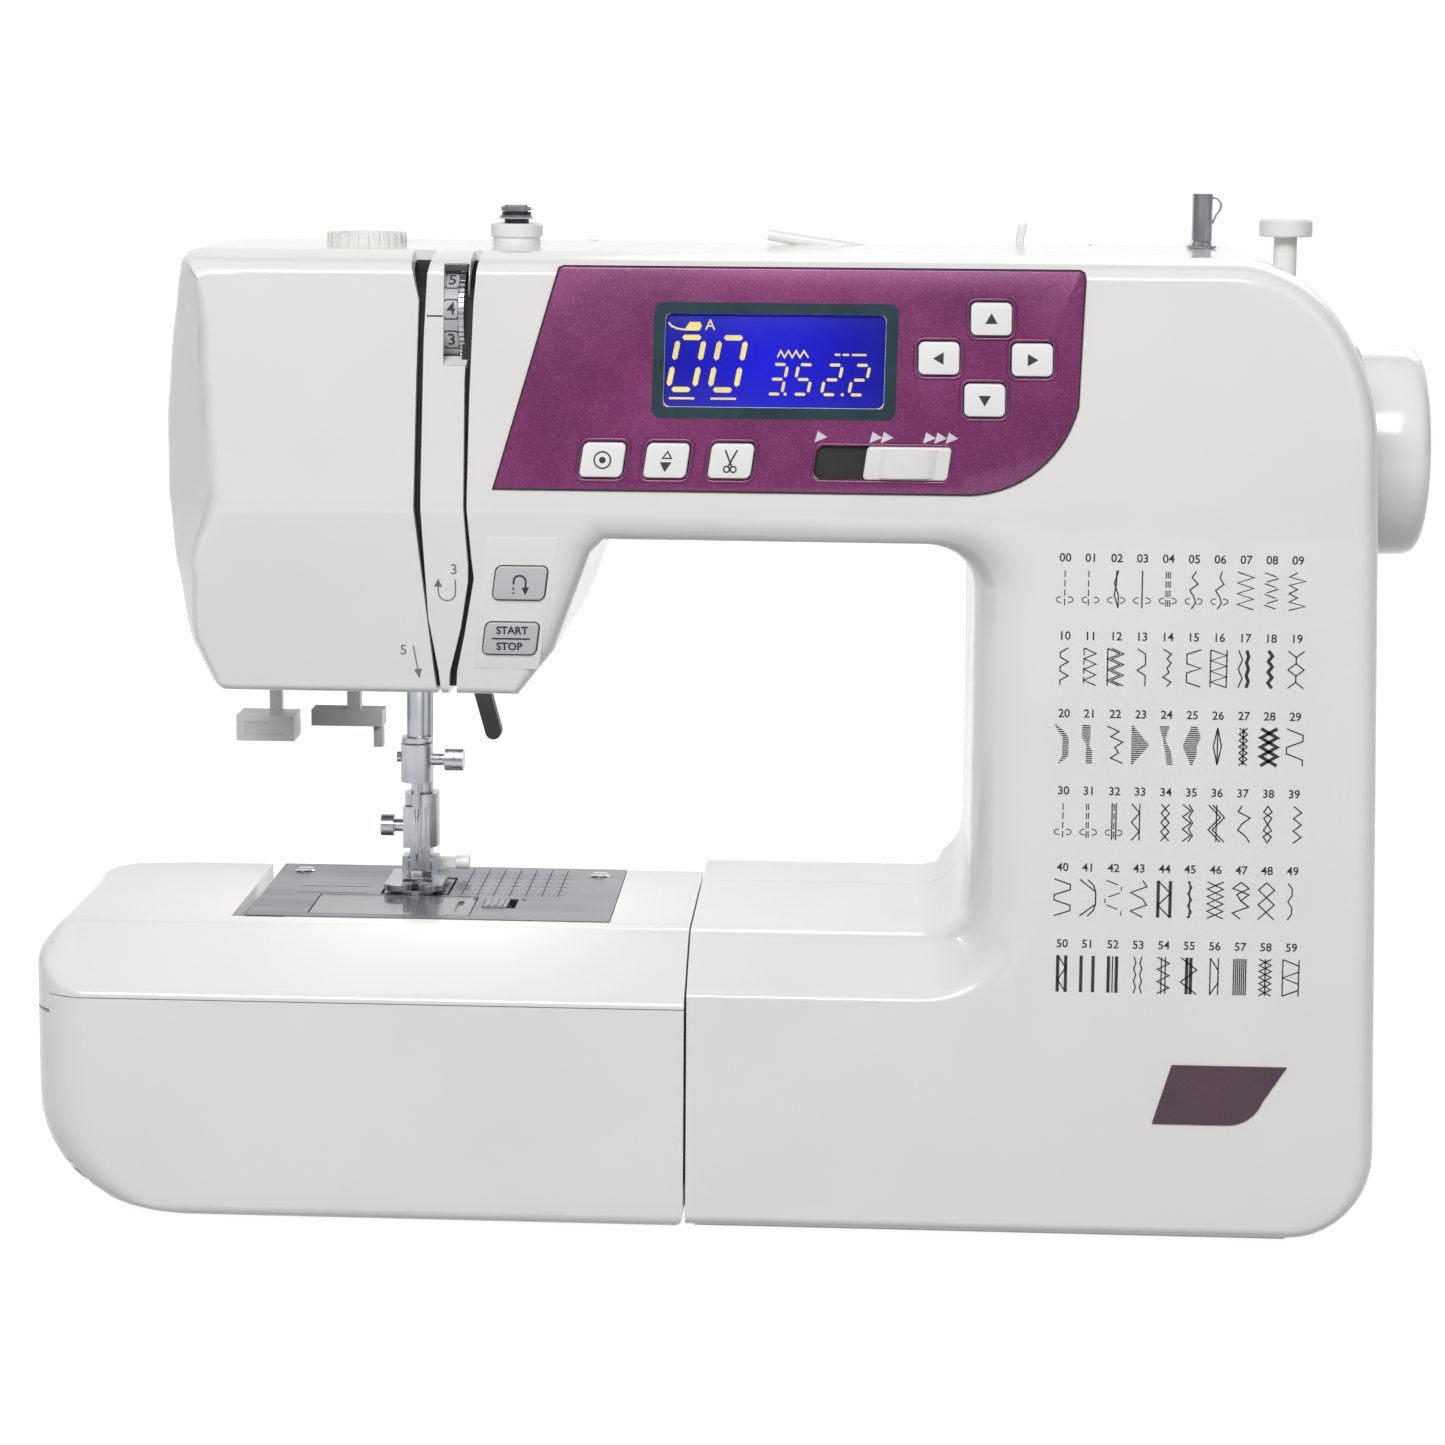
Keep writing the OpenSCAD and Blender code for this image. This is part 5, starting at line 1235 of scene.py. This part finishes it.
        # Painted shade: a dark sheet at the bottom of the slider's slot stands for the shadow in it.
        slab(bed, self.slot.outline(0.2, 1.4), self.on, -2.0, -0.6, 0.0)
        make("slider_slot_shade", bed, PAINTED_SHADE, "machine", "panel_film")
        slab(bm, self.knob.outline(0.0, 1.2), self.on, -0.5, self.film + 1.1, 0.5, steps=4)
        k, rings = self.knob, []
        for off, high in ((0.0, 0.9), (1.5, 2.1), (4.0, 2.7), (9.0, 2.3), (13.0, 2.5), (16.0, 1.5), (16.6, 0.9)):
            x, flank, ridge = k.x - 8.2 + off, high + self.film * 0.8, high + self.film
            rings.append([self.on(x + k.lean * v, k.z + v, h) for v, h in
                          ((-4.2, 0.8), (4.2, 0.8), (4.0, flank), (0.0, ridge), (-4.0, flank))])
        skin(bm, rings)
        make("speed_knob", bm, WHITE, "speed slider", "key_plastic", "speed_slider", crease_deg=40)
        for count, left in ((1, 24.8), (2, 40.4), (3, 55.6)):
            for x in (left + 3.2 * i for i in range(count)):
                patch(marks, [(x - 0.3, 233.8), (x + 3.3, 235.3), (x + 0.6, 237.0)], self.raised(self.film))
        make("speed_marks", marks, INK_WHITE, "machine", "panel_film")


@dataclass
class Head(OnCasing):
    """The head's slots with sheets of painted shade in them, its tension dial with numbers, the marks beside the
    slots and the two buttons.

    Sizes in millimetres.
    """
    dial: Spot = (21.0, 268.0)
    radius: float = 15.0
    button_top: float = 1.2

    def round_dial(self, x: float, along: float, high: float) -> Vector:
        """Give a point on the dial's rim: along runs round it from the front upwards."""
        turn, reach = along / self.radius, self.radius + high
        return at(x, self.dial[0] - reach * math.cos(turn), self.dial[1] + reach * math.sin(turn))

    def build(self) -> None:
        """Build the dark sheets of painted shade in the slots, the dial, the marks and the buttons."""
        # Painted shade: a near-black sheet a few millimetres behind each slot stands for the shadow inside it.
        shade_sheets = bmesh.new()
        for slot in self.casing.slots:
            rings = []
            for z in range(160, 285, 4):
                low, high = (eased(edge, z, 1.0) for edge in (slot.left, slot.right))
                deep = self.casing.face(low, z) + 3.4 + 1.7 * max(z - 277, 0)
                rings.append([at(x, d, z) for x, d in ((low - 1.5, deep), (high + 1.5, deep),
                                                       (high + 1.5, deep + 0.5), (low - 1.5, deep + 0.5))])
            skin(shade_sheets, rings)
        make("slot_shade_sheets", shade_sheets, PAINTED_SHADE, "machine", "black_plastic")
        self.build_dial()
        self.build_numbers()
        self.build_window()
        self.build_marks()
        self.build_buttons()

    def build_dial(self) -> None:
        """Build the tension dial's drum and its knurled rim."""
        bm, rim, axis = bmesh.new(), bmesh.new(), along_x(*self.dial)
        turned(bm, axis, [(3.2, -83.3), (14.6, -83.3), (15.0, -82.9), (15.0, -78.2), (14.6, -78.0), (3.2, -78.0)], 96)
        make("tension_drum", bm, PALE_GREY, "tension dial", "light_grey_plastic", "tension_dial")
        turned(rim, axis, [(3.2, -78.0), (14.5, -78.0), (14.5, -76.5), (3.2, -76.5)], 96)
        side = [(14.2, -0.045), (15.1, -0.02), (15.1, 0.02), (14.2, 0.045)]
        for turn in (math.tau * k / 60 for k in range(60)):
            skin(rim, [[axis(-r * math.cos(turn + a), r * math.sin(turn + a), x) for r, a in side]
                       for x in (-77.95, -76.5)])
        make("tension_rim", rim, STEEL, "tension dial", "light_grey_plastic")

    def build_numbers(self) -> None:
        """Print ten numbers in frames round the dial, with 4 towards the window."""
        ink, x = bmesh.new(), -80.1
        for figure in range(10):
            along = self.radius * math.radians(9 + 35 * (figure - 4))

            def on_dial(u: float, v: float, high: float, start: float = along) -> Vector:
                """Give a point on the rim, counted from this figure's middle."""
                return self.round_dial(u, v + start, high)
            lettering(ink, str(figure), 3.6, (x, 0.0), on_dial)
            ribbon(ink, [(x + u, v) for u, v in round_box(3.6, 5.6, 0.3, 2)], 0.4, on_dial, loop=True)
        make("tension_numbers", ink, INK, "tension dial", "light_grey_plastic")

    def build_window(self) -> None:
        """Build the lip under the dial's window and the brow over it."""
        for name, finish, side in (
                ("window_lip", WHITE, ((4.4, 254.4), (10.0, 256.6), (10.0, 255.0), (7.0, 253.4))),
                ("window_brow", GREY, ((8.0, 283.0), (12.0, 280.9), (12.0, 282.4), (10.0, 283.4)))):
            bm = bmesh.new()
            skin(bm, [[at(x, y, h) for y, h in side] for x in (-82.3, -75.6)])
            make(name, bm, finish, "machine", "body_plastic")

    def build_marks(self) -> None:
        """Print the line beside the dial and the two threading marks."""
        line, marks = bmesh.new(), bmesh.new()
        ribbon(line, [(-87.0, 268.4), (-82.4, 268.4)], 0.45, self.on)
        make("tension_line", line, INK, "machine", "body_plastic")
        for figure, spot in (("3", (-79.0, 195.5)), ("5", (-94.3, 171.2))):
            lettering(marks, figure, 3.0, spot, self.on)
        ribbon(marks, [(-78.7, 192.6)] + arc(-81.2, 188.7, 2.5, 2.4, 0, -180, 12) + [(-83.7, 190.6)], 0.4, self.on)
        patch(marks, [(-84.9, 190.4), (-82.5, 190.4), (-83.7, 192.9)], self.on)
        ribbon(marks, [(-91.4, 172.6), (-90.2, 165.2)], 0.4, self.on)
        patch(marks, [(-91.4, 165.4), (-89.8, 162.6), (-89.1, 165.8)], self.on)
        make("thread_marks", marks, INK_GREY, "machine", "body_plastic")

    def build_buttons(self) -> None:
        """Build the raised field with the reverse button and the start/stop button."""
        ground, gap_shade, buttons = bmesh.new(), bmesh.new(), self.casing.keys[7:9]
        slab(ground, [(-74.0, 166.0), (-55.0, 166.0), (-48.6, 205.4), (-69.4, 205.4)], self.on, -0.5, 0.12, 0.1)
        plate = to_object("button_field", ground)
        for key in buttons:
            hole = bmesh.new()
            slab(hole, key.outline(0.4), self.on, -2.0, 3.0, 0.0)
            cut(plate, hole)
        dress(plate, CASE, "machine", "body_plastic")
        # Painted shade: dark sheets behind the buttons, a little wider than them, stand for the shadow in the gaps
        # round them.
        for key in buttons:
            slab(gap_shade, key.outline(1.2), self.on, -3.6, -3.2, 0.0)
        make("button_gap_shade", gap_shade, PAINTED_SHADE, "machine", "black_plastic")
        for key, sign in zip(buttons, (self.reverse_sign, self.start_sign)):
            bm, ink = bmesh.new(), bmesh.new()
            slab(bm, key.outline(0.0), self.on, -1.6, self.button_top, 0.4, steps=4)
            make(key.node + "_cap", bm, KEY_GREY, key.body, "key_plastic", key.node, crease_deg=50)
            sign(ink, key)
            make(key.node + "_sign", ink, INK, key.body, "key_plastic")

    def reverse_sign(self, ink: BMesh, key: Key) -> None:
        """Print the arrow that turns back, with two dots for the stitches."""
        x, z, over = key.x, key.z, self.raised(self.button_top)
        bow = [(x - 1.8, z - 0.3)] + arc(x, z + 0.6, 1.75, 1.7, 180, 0, 10) + [(x + 1.6, z - 1.5)]
        ribbon(ink, bow, 0.55, over)
        patch(ink, [(x + 0.5, z - 1.3), (x + 1.5, z - 3.5), (x + 2.7, z - 1.1)], over)
        for low in (1.6, 2.9):
            patch(ink, round_box(0.6, 0.6, 0.25, 2, (x - 1.9, z - low)), over)

    def start_sign(self, ink: BMesh, key: Key) -> None:
        """Print START over STOP with a line between them."""
        over = self.raised(self.button_top)
        for word, across, high in (("START", 0.5, 2.4), ("STOP", -0.4, -2.4)):
            lettering(ink, word, 2.2, (key.x + across, key.z + high), over, weight=0.045)
        ribbon(ink, [(key.x - 5.4, key.z), (key.x + 5.6, key.z)], 0.5, over)


@dataclass
class StitchChart(OnCasing):
    """The printed chart of sixty stitches: a number over a small sign, in six rows of ten.

    A sign is a few strokes joined by slashes. A stroke has a letter for its kind and one digit for each
    equal step from above to below: 0 is the sign's left edge and 8 its right edge. l is a line, d a dashed
    line, b a broad line, h hatching between the two halves of the digits, o the foot's mark.
    """
    middle: Spot = (96.2, 201.8)
    pitch: Spot = (7.3, 22.5)
    size: Spot = (4.6, 10.8)
    thin: float = 0.28
    dash: float = 0.32
    hatch: float = 0.34
    line: float = 0.38
    broad: float = 0.95
    hatches: int = 18
    dash_step: float = 2.6
    rows: tuple[str, ...] = (
        "d44/o d33/o l5355/l4435/o l44/o d33/d44/d55/o l5362453/o l5462453/o l08080808 d08080808 l4080404080",
        "l622622622 d11/l17171717 l00/l06060606/l28282828 l26662666 l264645264 l811181118 l00/l08080808/l88 "
        "b5656565/l13131 b35353535 l0440440/l8448448",
        "h024444204666620 h11554433 l06284628 h0000004840 h13455367 h4202468664 l44/l464/l424 l44/l2626262/l6262626 "
        "b08080/b80808 l0880088",
        "d44/o d44/d33/o l33/l55/d44/o l44/l04040 l26262/l62626 l3535353/l0404040 l0606/l2828/l44 l4284268 "
        "l4264624/l4624264 l4848484",
        "l08800880 l4788874/l0488840 d0880088 l6806806 b11/b77/l1717 l3535353/l44 l080808/l808080 l4824804/l4084804 "
        "l484048/l404840 l2442442",
        "b22/b66/l2626 b11/b77 b22/b66/l44 l2323232/l6565656 l33/l55/l1717171 b33/b55/l0808 l22/l66/l2662 "
        "l11/l22/l33/l44/l55/l66/l77 l1717171/l44/l7171717 l00/l88/l0880880")

    def foot_mark(self, bm: BMesh, x: float, z: float) -> None:
        """Print the foot's mark: two small bows, back to back."""
        for side in (-1, 1):
            bow = [(x + side * (1.2 + 0.5 * u), z - 3.2 + 0.8 * v) for u, v in arc(0, 0, 2.4, 1.0, 90, -90, 8)]
            ribbon(bm, [(x + side * 1.0, z - 2.4)] + bow + [(x + side * 1.0, z - 4.0)], self.thin, self.on)

    def hatching(self, bm: BMesh, edges: tuple[Path, Path], z: float) -> None:
        """Print level lines between two broken lines, given as X over the share of the sign's height."""
        for share in (k / self.hatches for k in range(self.hatches + 1)):
            a, b = (eased(edge, share, 0.05) for edge in edges)
            high = z + self.size[1] * (0.5 - share)
            ribbon(bm, [(min(a, b) - 0.3, high), (max(a, b) + 0.3, high)], self.hatch, self.on)

    def dashes(self, bm: BMesh, start: Spot, end: Spot) -> None:
        """Print a dashed line."""
        (a, high), (b, low) = start, end
        count = max(round((high - low) / self.dash_step), 1)
        for k in range(count):
            shares = ((k + 0.08) / count, (k + 0.78) / count)
            ribbon(bm, [(a + (b - a) * t, high + (low - high) * t) for t in shares], self.dash, self.on)

    def stroke(self, bm: BMesh, x: float, z: float, code: str) -> None:
        """Print one stroke of the sign whose middle is at x and z."""
        kind, spots = code[0], [x + (int(c) / 8 - 0.5) * self.size[0] for c in code[1:]]
        if kind == "o":
            self.foot_mark(bm, x, z)
            return
        if kind == "h":
            half = len(spots) // 2
            left, right = ([(k / (half - 1), s) for k, s in enumerate(part)] for part in (spots[:half], spots[half:]))
            self.hatching(bm, (left, right), z)
            return
        line = [(s, z + self.size[1] * (0.5 - k / (len(spots) - 1))) for k, s in enumerate(spots)]
        if kind == "d":
            for start, end in zip(line, line[1:]):
                self.dashes(bm, start, end)
        else:
            ribbon(bm, line, self.line if kind == "l" else self.broad, self.on)

    def build(self) -> None:
        """Print the chart."""
        bm = bmesh.new()
        for row, signs in enumerate(self.rows):
            for column, sign in enumerate(signs.split()):
                x = self.middle[0] + 0.25 * row + self.pitch[0] * column
                z = self.middle[1] - self.pitch[1] * row
                lettering(bm, f"{row}{column}", 2.4, (x, z), self.on, weight=0.02)
                for code in sign.split("/"):
                    self.stroke(bm, x, z - 8.8, code)
        make("stitch_chart", bm, INK, "machine", "body_plastic")


@dataclass
class Fittings:
    """The handwheel, the guides and the spindle on the top, the lamp's lenses, and the plate's markings.

    Sizes in millimetres.
    """
    wheel: Spot = (68.0, 226.5)
    guide: Spot = (-67.3, 60.0)
    spindle: Spot = (139.6, 75.0)
    stopper: Spot = (164.8, 75.0)
    lamps: tuple[Spot, ...] = ((-88, 48), (-79, 48))
    plate_screws: tuple[Spot, ...] = ((-138.6, 88), (-44.2, 88))
    plate_top: float = 85.25
    print_high: float = 0.02

    def upright(self, bm: BMesh, middle: Spot, profile: Flat, steps: int = 48) -> None:
        """Turn a profile of radius and Z about an upright axis."""
        turned(bm, lambda u, v, w: at(middle[0] + u, middle[1] + v, w), profile, steps)

    def plate(self, x: float, depth: float, high: float) -> Vector:
        """Give a point at a height over the needle plate."""
        return at(x, depth, self.plate_top + high)

    def build(self) -> None:
        """Build the fittings."""
        self.build_wheel()
        self.build_top()
        self.build_spring()
        lenses = bmesh.new()
        for spot in self.lamps:
            self.upright(lenses, spot, [(0.3, 157.4), (1.6, 157.6), (2.5, 158.3), (2.5, 159.6), (0.3, 159.6)], 24)
        make("lamp_lenses", lenses, LAMP, "machine", "clear_plastic")
        self.build_plate()
        self.build_screws()

    def build_wheel(self) -> None:
        """Build the handwheel's shell with its rounded rim."""
        bm = bmesh.new()
        hub = [(5, 185.4), (12, 185.4), (12, 185.9)]
        rim = [(30.2, 185.9), (31.1, 186.3), (31.5, 187.2), (31.5, 199.5), (31.3, 201.4), (30.5, 203.2),
               (28.6, 204.6), (24, 205.6), (16, 206.1), (5, 206.2)]
        turned(bm, along_x(*self.wheel), hub + rim, 128)
        make("handwheel_shell", bm, CASE, "main drive", "body_plastic", "handwheel")

    def build_top(self) -> None:
        """Build the thread guides and the winder's stopper on the top."""
        white, black, chrome = bmesh.new(), bmesh.new(), bmesh.new()
        for bm, middle, profile in (
                (white, self.guide, [(3, 284.5), (7.2, 284.5), (7.2, 287.6), (7.0, 288.6), (7.8, 289.2), (7.9, 292.4),
                                     (7.5, 293), (3, 293)]),
                (white, self.stopper, [(1, 273), (3.5, 273), (3.5, 290.4), (7.7, 290.4), (8, 290.8), (8, 294.9),
                                       (7.4, 295.6), (1, 295.6)]),
                (black, self.guide, [(1, 293), (3.7, 293), (3.7, 294.4), (1, 294.4)]),
                (black, self.guide, [(1, 295.5), (4.4, 295.5), (4.4, 296.5), (1, 296.5)]),
                (chrome, self.guide, [(1, 294.4), (5.2, 294.4), (5.5, 294.9), (5.2, 295.5), (1, 295.5)]),
                (chrome, self.guide, [(1, 296.5), (4.6, 296.5), (5, 296.9), (5, 298), (4.3, 298.6), (1, 298.6)])):
            self.upright(bm, middle, profile)
        hook = [(83.8, 284.6), (86.3, 284.6), (86.5, 288.5), (87.4, 292.6), (86.9, 293.2), (85.0, 292.7),
                (84.2, 289.5)]
        slab(white, hook, lambda u, v, h: at(u, 91 - h, v), 0.0, 2.6, 0.4, 0.4)
        make("top_fittings", white, WHITE, "machine", "body_plastic", "top_guides")
        make("guide_rings", black, BLACK, "machine", "black_plastic")
        make("guide_discs", chrome, CHROME, "machine", "chromed_steel")

    def build_spring(self) -> None:
        """Build the winder spindle's collar and the wire spring that holds a bobbin."""
        bm, (x, y) = bmesh.new(), self.spindle
        collar = [(3.0, 286.8), (4.7, 286.8), (4.7, 287.5), (3.6, 288.2), (3.1, 289), (3.0, 289)]
        self.upright(bm, self.spindle, collar)
        wire = ((2.9, 302), (4.6, 301.4), (5.6, 300), (5.4, 298.2), (4.2, 296.6), (3.2, 294))
        rod(bm, [at(x + u, y, h) for u, h in wire], 0.4)
        make("spindle_spring", bm, CHROME, "winder spindle", "chromed_steel")

    def build_plate(self) -> None:
        """Print the seam guides on the needle plate: seven lines with cross marks, two long lines, figures."""
        bm = bmesh.new()
        for x in (-99.3 + 10 + 5 * k for k in range(7)):
            ribbon(bm, [(x + 4.5, 59), (x + 4.5, 94)], 0.35, self.plate, self.print_high)
            for depth in range(62, 92, 5):
                ribbon(bm, [(x + 2.7, depth), (x + 6.3, depth)], 0.25, self.plate, self.print_high)
        for depth in (60, 68):
            ribbon(bm, [(-136, depth), (-114, depth)], 0.4, self.plate, self.print_high)
        for k, figure in enumerate("3456"):
            lettering(bm, figure, 2.6, (-84.8 + 5 * (k + 1), 55.2), self.plate, self.print_high)
        make("plate_guides", bm, INK, "machine", "steel")

    def build_screws(self) -> None:
        """Build the plate's two screws with their slots."""
        bm = bmesh.new()
        for spot in self.plate_screws:
            self.upright(bm, spot, [(0.4, 85.1), (3.2, 85.1), (3.2, 85.5), (2.8, 85.8), (0.4, 85.9)], 32)
        screws = to_object("plate_screws", bm)
        for x, y in self.plate_screws:
            cut(screws, block((x - 4, x + 4), (y - 0.4, y + 0.4), (85.45, 87)))
        dress(screws, CHROME, "machine", "chromed_steel")


def finish_nodes() -> None:
    """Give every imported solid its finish, also where a finer piece stands for it."""
    groups: dict[Finish, str] = {
        CASE: "front_cover rear_cover free_arm_cover extension_table table_lid handwheel carrying_handle",
        WHITE: "spool_pin pressure_dial base_plate top_guides bobbin_holder foot_lever take_up_lever "
               "buttonhole_lever",
        GREY: "led_lamp tension_dial cover_release_button speed_slider needle_threader drop_feed_lever",
        PALE_GREY: "winder_arm bobbin reverse_button start_stop_button",
        KEY: "up_button left_button right_button down_button needle_stop_button needle_position_button "
             "thread_cutter_button",
        BLACK: "power_inlet power_switch presser_lifter motor_pulley rotary_hook",
        FILM: "control_panel", BADGE: "badge_plate", LCD: "lcd_screen", CLEAR: "bobbin_cover",
        SHEET: "needle_plate", STEEL: "needle_bar needle needle_clamp presser_bar foot_holder presser_foot "
                                      "main_shaft lower_shaft feed_dog winder_spindle cover_screws",
        CAST: "chassis needle_bar_support feed_bar", CAN: "motor", BOARD: "circuit_board", FEET: "rubber_feet",
        BELT: "timing_belts"}
    for finish, names in groups.items():
        for name in names.split():
            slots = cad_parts[name].data.materials
            if not slots:
                slots.append(None)
            for i in range(len(slots)):
                slots[i] = finish.material()
            LOG.info("%s: %s", name, finish.name)


@dataclass(frozen=True)
class SoftBox:
    """An area lamp.

    Attributes:
        name: The lamp's name.
        place: Where it hangs, in metres.
        aim: The point that it lights, in metres.
        size: Width and height in metres.
        watts: Its power.
    """
    name: str
    place: Triple
    aim: Triple
    size: Spot
    watts: float

    def hang(self) -> None:
        """Make the lamp."""
        data = bpy.data.lights.new(self.name, "AREA")
        data.shape, data.energy = "RECTANGLE", self.watts
        data.size, data.size_y = self.size
        holder = bpy.data.objects.new(self.name, data)
        holder.location = self.place
        holder.rotation_euler = (Vector(self.aim) - Vector(self.place)).to_track_quat("-Z", "Y").to_euler()
        bpy.context.scene.collection.objects.link(holder)


@dataclass
class Studio:
    """The camera, the pale floor and backdrop, and soft lamps.

    Attributes:
        eye: The camera's place in millimetres: X, depth before the front (negative) and Z.
        turn_deg: Turn of the view to the left.
        down_deg: Tilt of the view downwards.
        roll_deg: Roll of the camera.
        lens_mm: Focal length on a sensor 36 mm wide.
        shift: Vertical shift of the lens.
        sky: Strength of the light from all sides.
        paper_white: Strength with which the backdrop shows as white.
        boxes: The lamps; the last is the glow of the machine's own lamp.
    """
    eye: Triple = (44.888, -916.228, 331.234)
    turn_deg: float = 2.9012
    down_deg: float = 7.1938
    roll_deg: float = 0.3841
    lens_mm: float = 80.74
    shift: float = -0.15
    sky: float = 0.28
    paper_white: float = 0.95
    boxes: tuple[SoftBox, ...] = (
        SoftBox("key_box", (-0.2, -1.6, 1.4), (0, 0, 0.15), (1.2, 0.7), 29),
        SoftBox("fill_box", (1.3, -1.4, 0.9), (0, 0, 0.15), (1.2, 1.2), 2.4),
        SoftBox("top_box", (0.0, 0.3, 1.8), (0, 0, 0.1), (1.8, 0.8), 1.0),
        SoftBox("back_box", (0.5, 1.7, 1.3), (0, 0, 0.15), (1.4, 1.0), 9),
        SoftBox("lamp_glow", tuple(at(-83.5, 48, 156.5)), tuple(at(-99, 60, 85)), (0.016, 0.008), 0.035))

    def camera(self) -> None:
        """Make the camera."""
        data = bpy.data.cameras.new("camera")
        data.lens, data.sensor_width, data.shift_y = self.lens_mm, 36.0, self.shift
        data.clip_start, data.clip_end = 0.05, 20.0
        holder = bpy.data.objects.new("camera", data)
        bpy.context.scene.collection.objects.link(holder)
        yaw, pitch, roll = (math.radians(a) for a in (self.turn_deg, self.down_deg, self.roll_deg))
        ahead = Vector((-math.sin(yaw) * math.cos(pitch), math.cos(yaw) * math.cos(pitch), -math.sin(pitch)))
        right = Vector((math.cos(yaw), math.sin(yaw), 0))
        up = right.cross(ahead)
        side = right * math.cos(roll) + up * math.sin(roll)
        top = up * math.cos(roll) - right * math.sin(roll)
        turn = Matrix((side, top, -ahead)).transposed().to_4x4()
        holder.matrix_world = Matrix.Translation(at(*self.eye)) @ turn
        bpy.context.scene.camera = holder

    def backdrop(self) -> None:
        """Make one sheet that is floor and backdrop."""
        bm = bmesh.new()
        turns = [math.radians(10 * k) for k in range(1, 10)]
        bow = [(1.6 + 0.8 * math.sin(a), 0.8 - 0.8 * math.cos(a)) for a in turns]
        line = [(-3.0, 0.0), (1.6, 0.0)] + bow + [(2.4, 3.2)]
        rows = [[bm.verts.new((x, y, z - 0.0002)) for y, z in line] for x in (-3.4, 3.4)]
        for i in range(len(line) - 1):
            bm.faces.new((rows[0][i], rows[1][i], rows[1][i + 1], rows[0][i + 1]))
        sheet = to_object("backdrop", bm, 80)
        sheet.data.materials.append(self.paper())

    def paper(self) -> bpy.types.Material:
        """Give the backdrop's paper: grey to the light it throws back, white to the camera and in reflections."""
        paper = bpy.data.materials.new("paper_matt_white")
        paper.use_nodes = True
        tree = paper.node_tree
        shader = tree.nodes["Principled BSDF"]
        shader.inputs["Roughness"].default_value = 0.9
        shader.inputs["Base Color"].default_value = linear("8C8C8C")
        path = add(tree, "LightPath")
        seen = add(tree, "Math", {0: path.outputs["Is Camera Ray"], 1: path.outputs["Is Glossy Ray"]},
                   operation="MAXIMUM")
        seen = add(tree, "Math", {0: seen.outputs[0], 1: path.outputs["Is Transmission Ray"]}, operation="MAXIMUM")
        white = add(tree, "Emission", {"Color": (1, 1, 1, 1), "Strength": self.paper_white})
        both = add(tree, "AddShader", {0: shader.outputs[0], 1: white.outputs[0]})
        mix = add(tree, "MixShader", {0: seen.outputs[0], 1: shader.outputs[0], 2: both.outputs[0]})
        tree.links.new(mix.outputs[0], tree.nodes["Material Output"].inputs["Surface"])
        return paper

    def build(self) -> None:
        """Set up the view, the lamps and the backdrop."""
        scene = bpy.context.scene
        scene.view_settings.view_transform = "Standard"
        self.camera()
        self.backdrop()
        world = bpy.data.worlds.new("world")
        scene.world = world
        world.use_nodes = True
        light = world.node_tree.nodes["Background"].inputs
        light["Color"].default_value, light["Strength"].default_value = linear("F2F4F8"), self.sky
        for box in self.boxes:
            box.hang()


def main() -> None:
    """Build the scene, piece by piece."""
    logging.basicConfig(level=logging.INFO, format="%(message)s")
    Studio().build()
    casing = Casing()
    casing.build()
    ExtensionTable().build()
    for part in (ControlPanel, Head, StitchChart):
        part(casing).build()
    Fittings().build()
    finish_nodes()


if __name__ == "__main__":
    main()
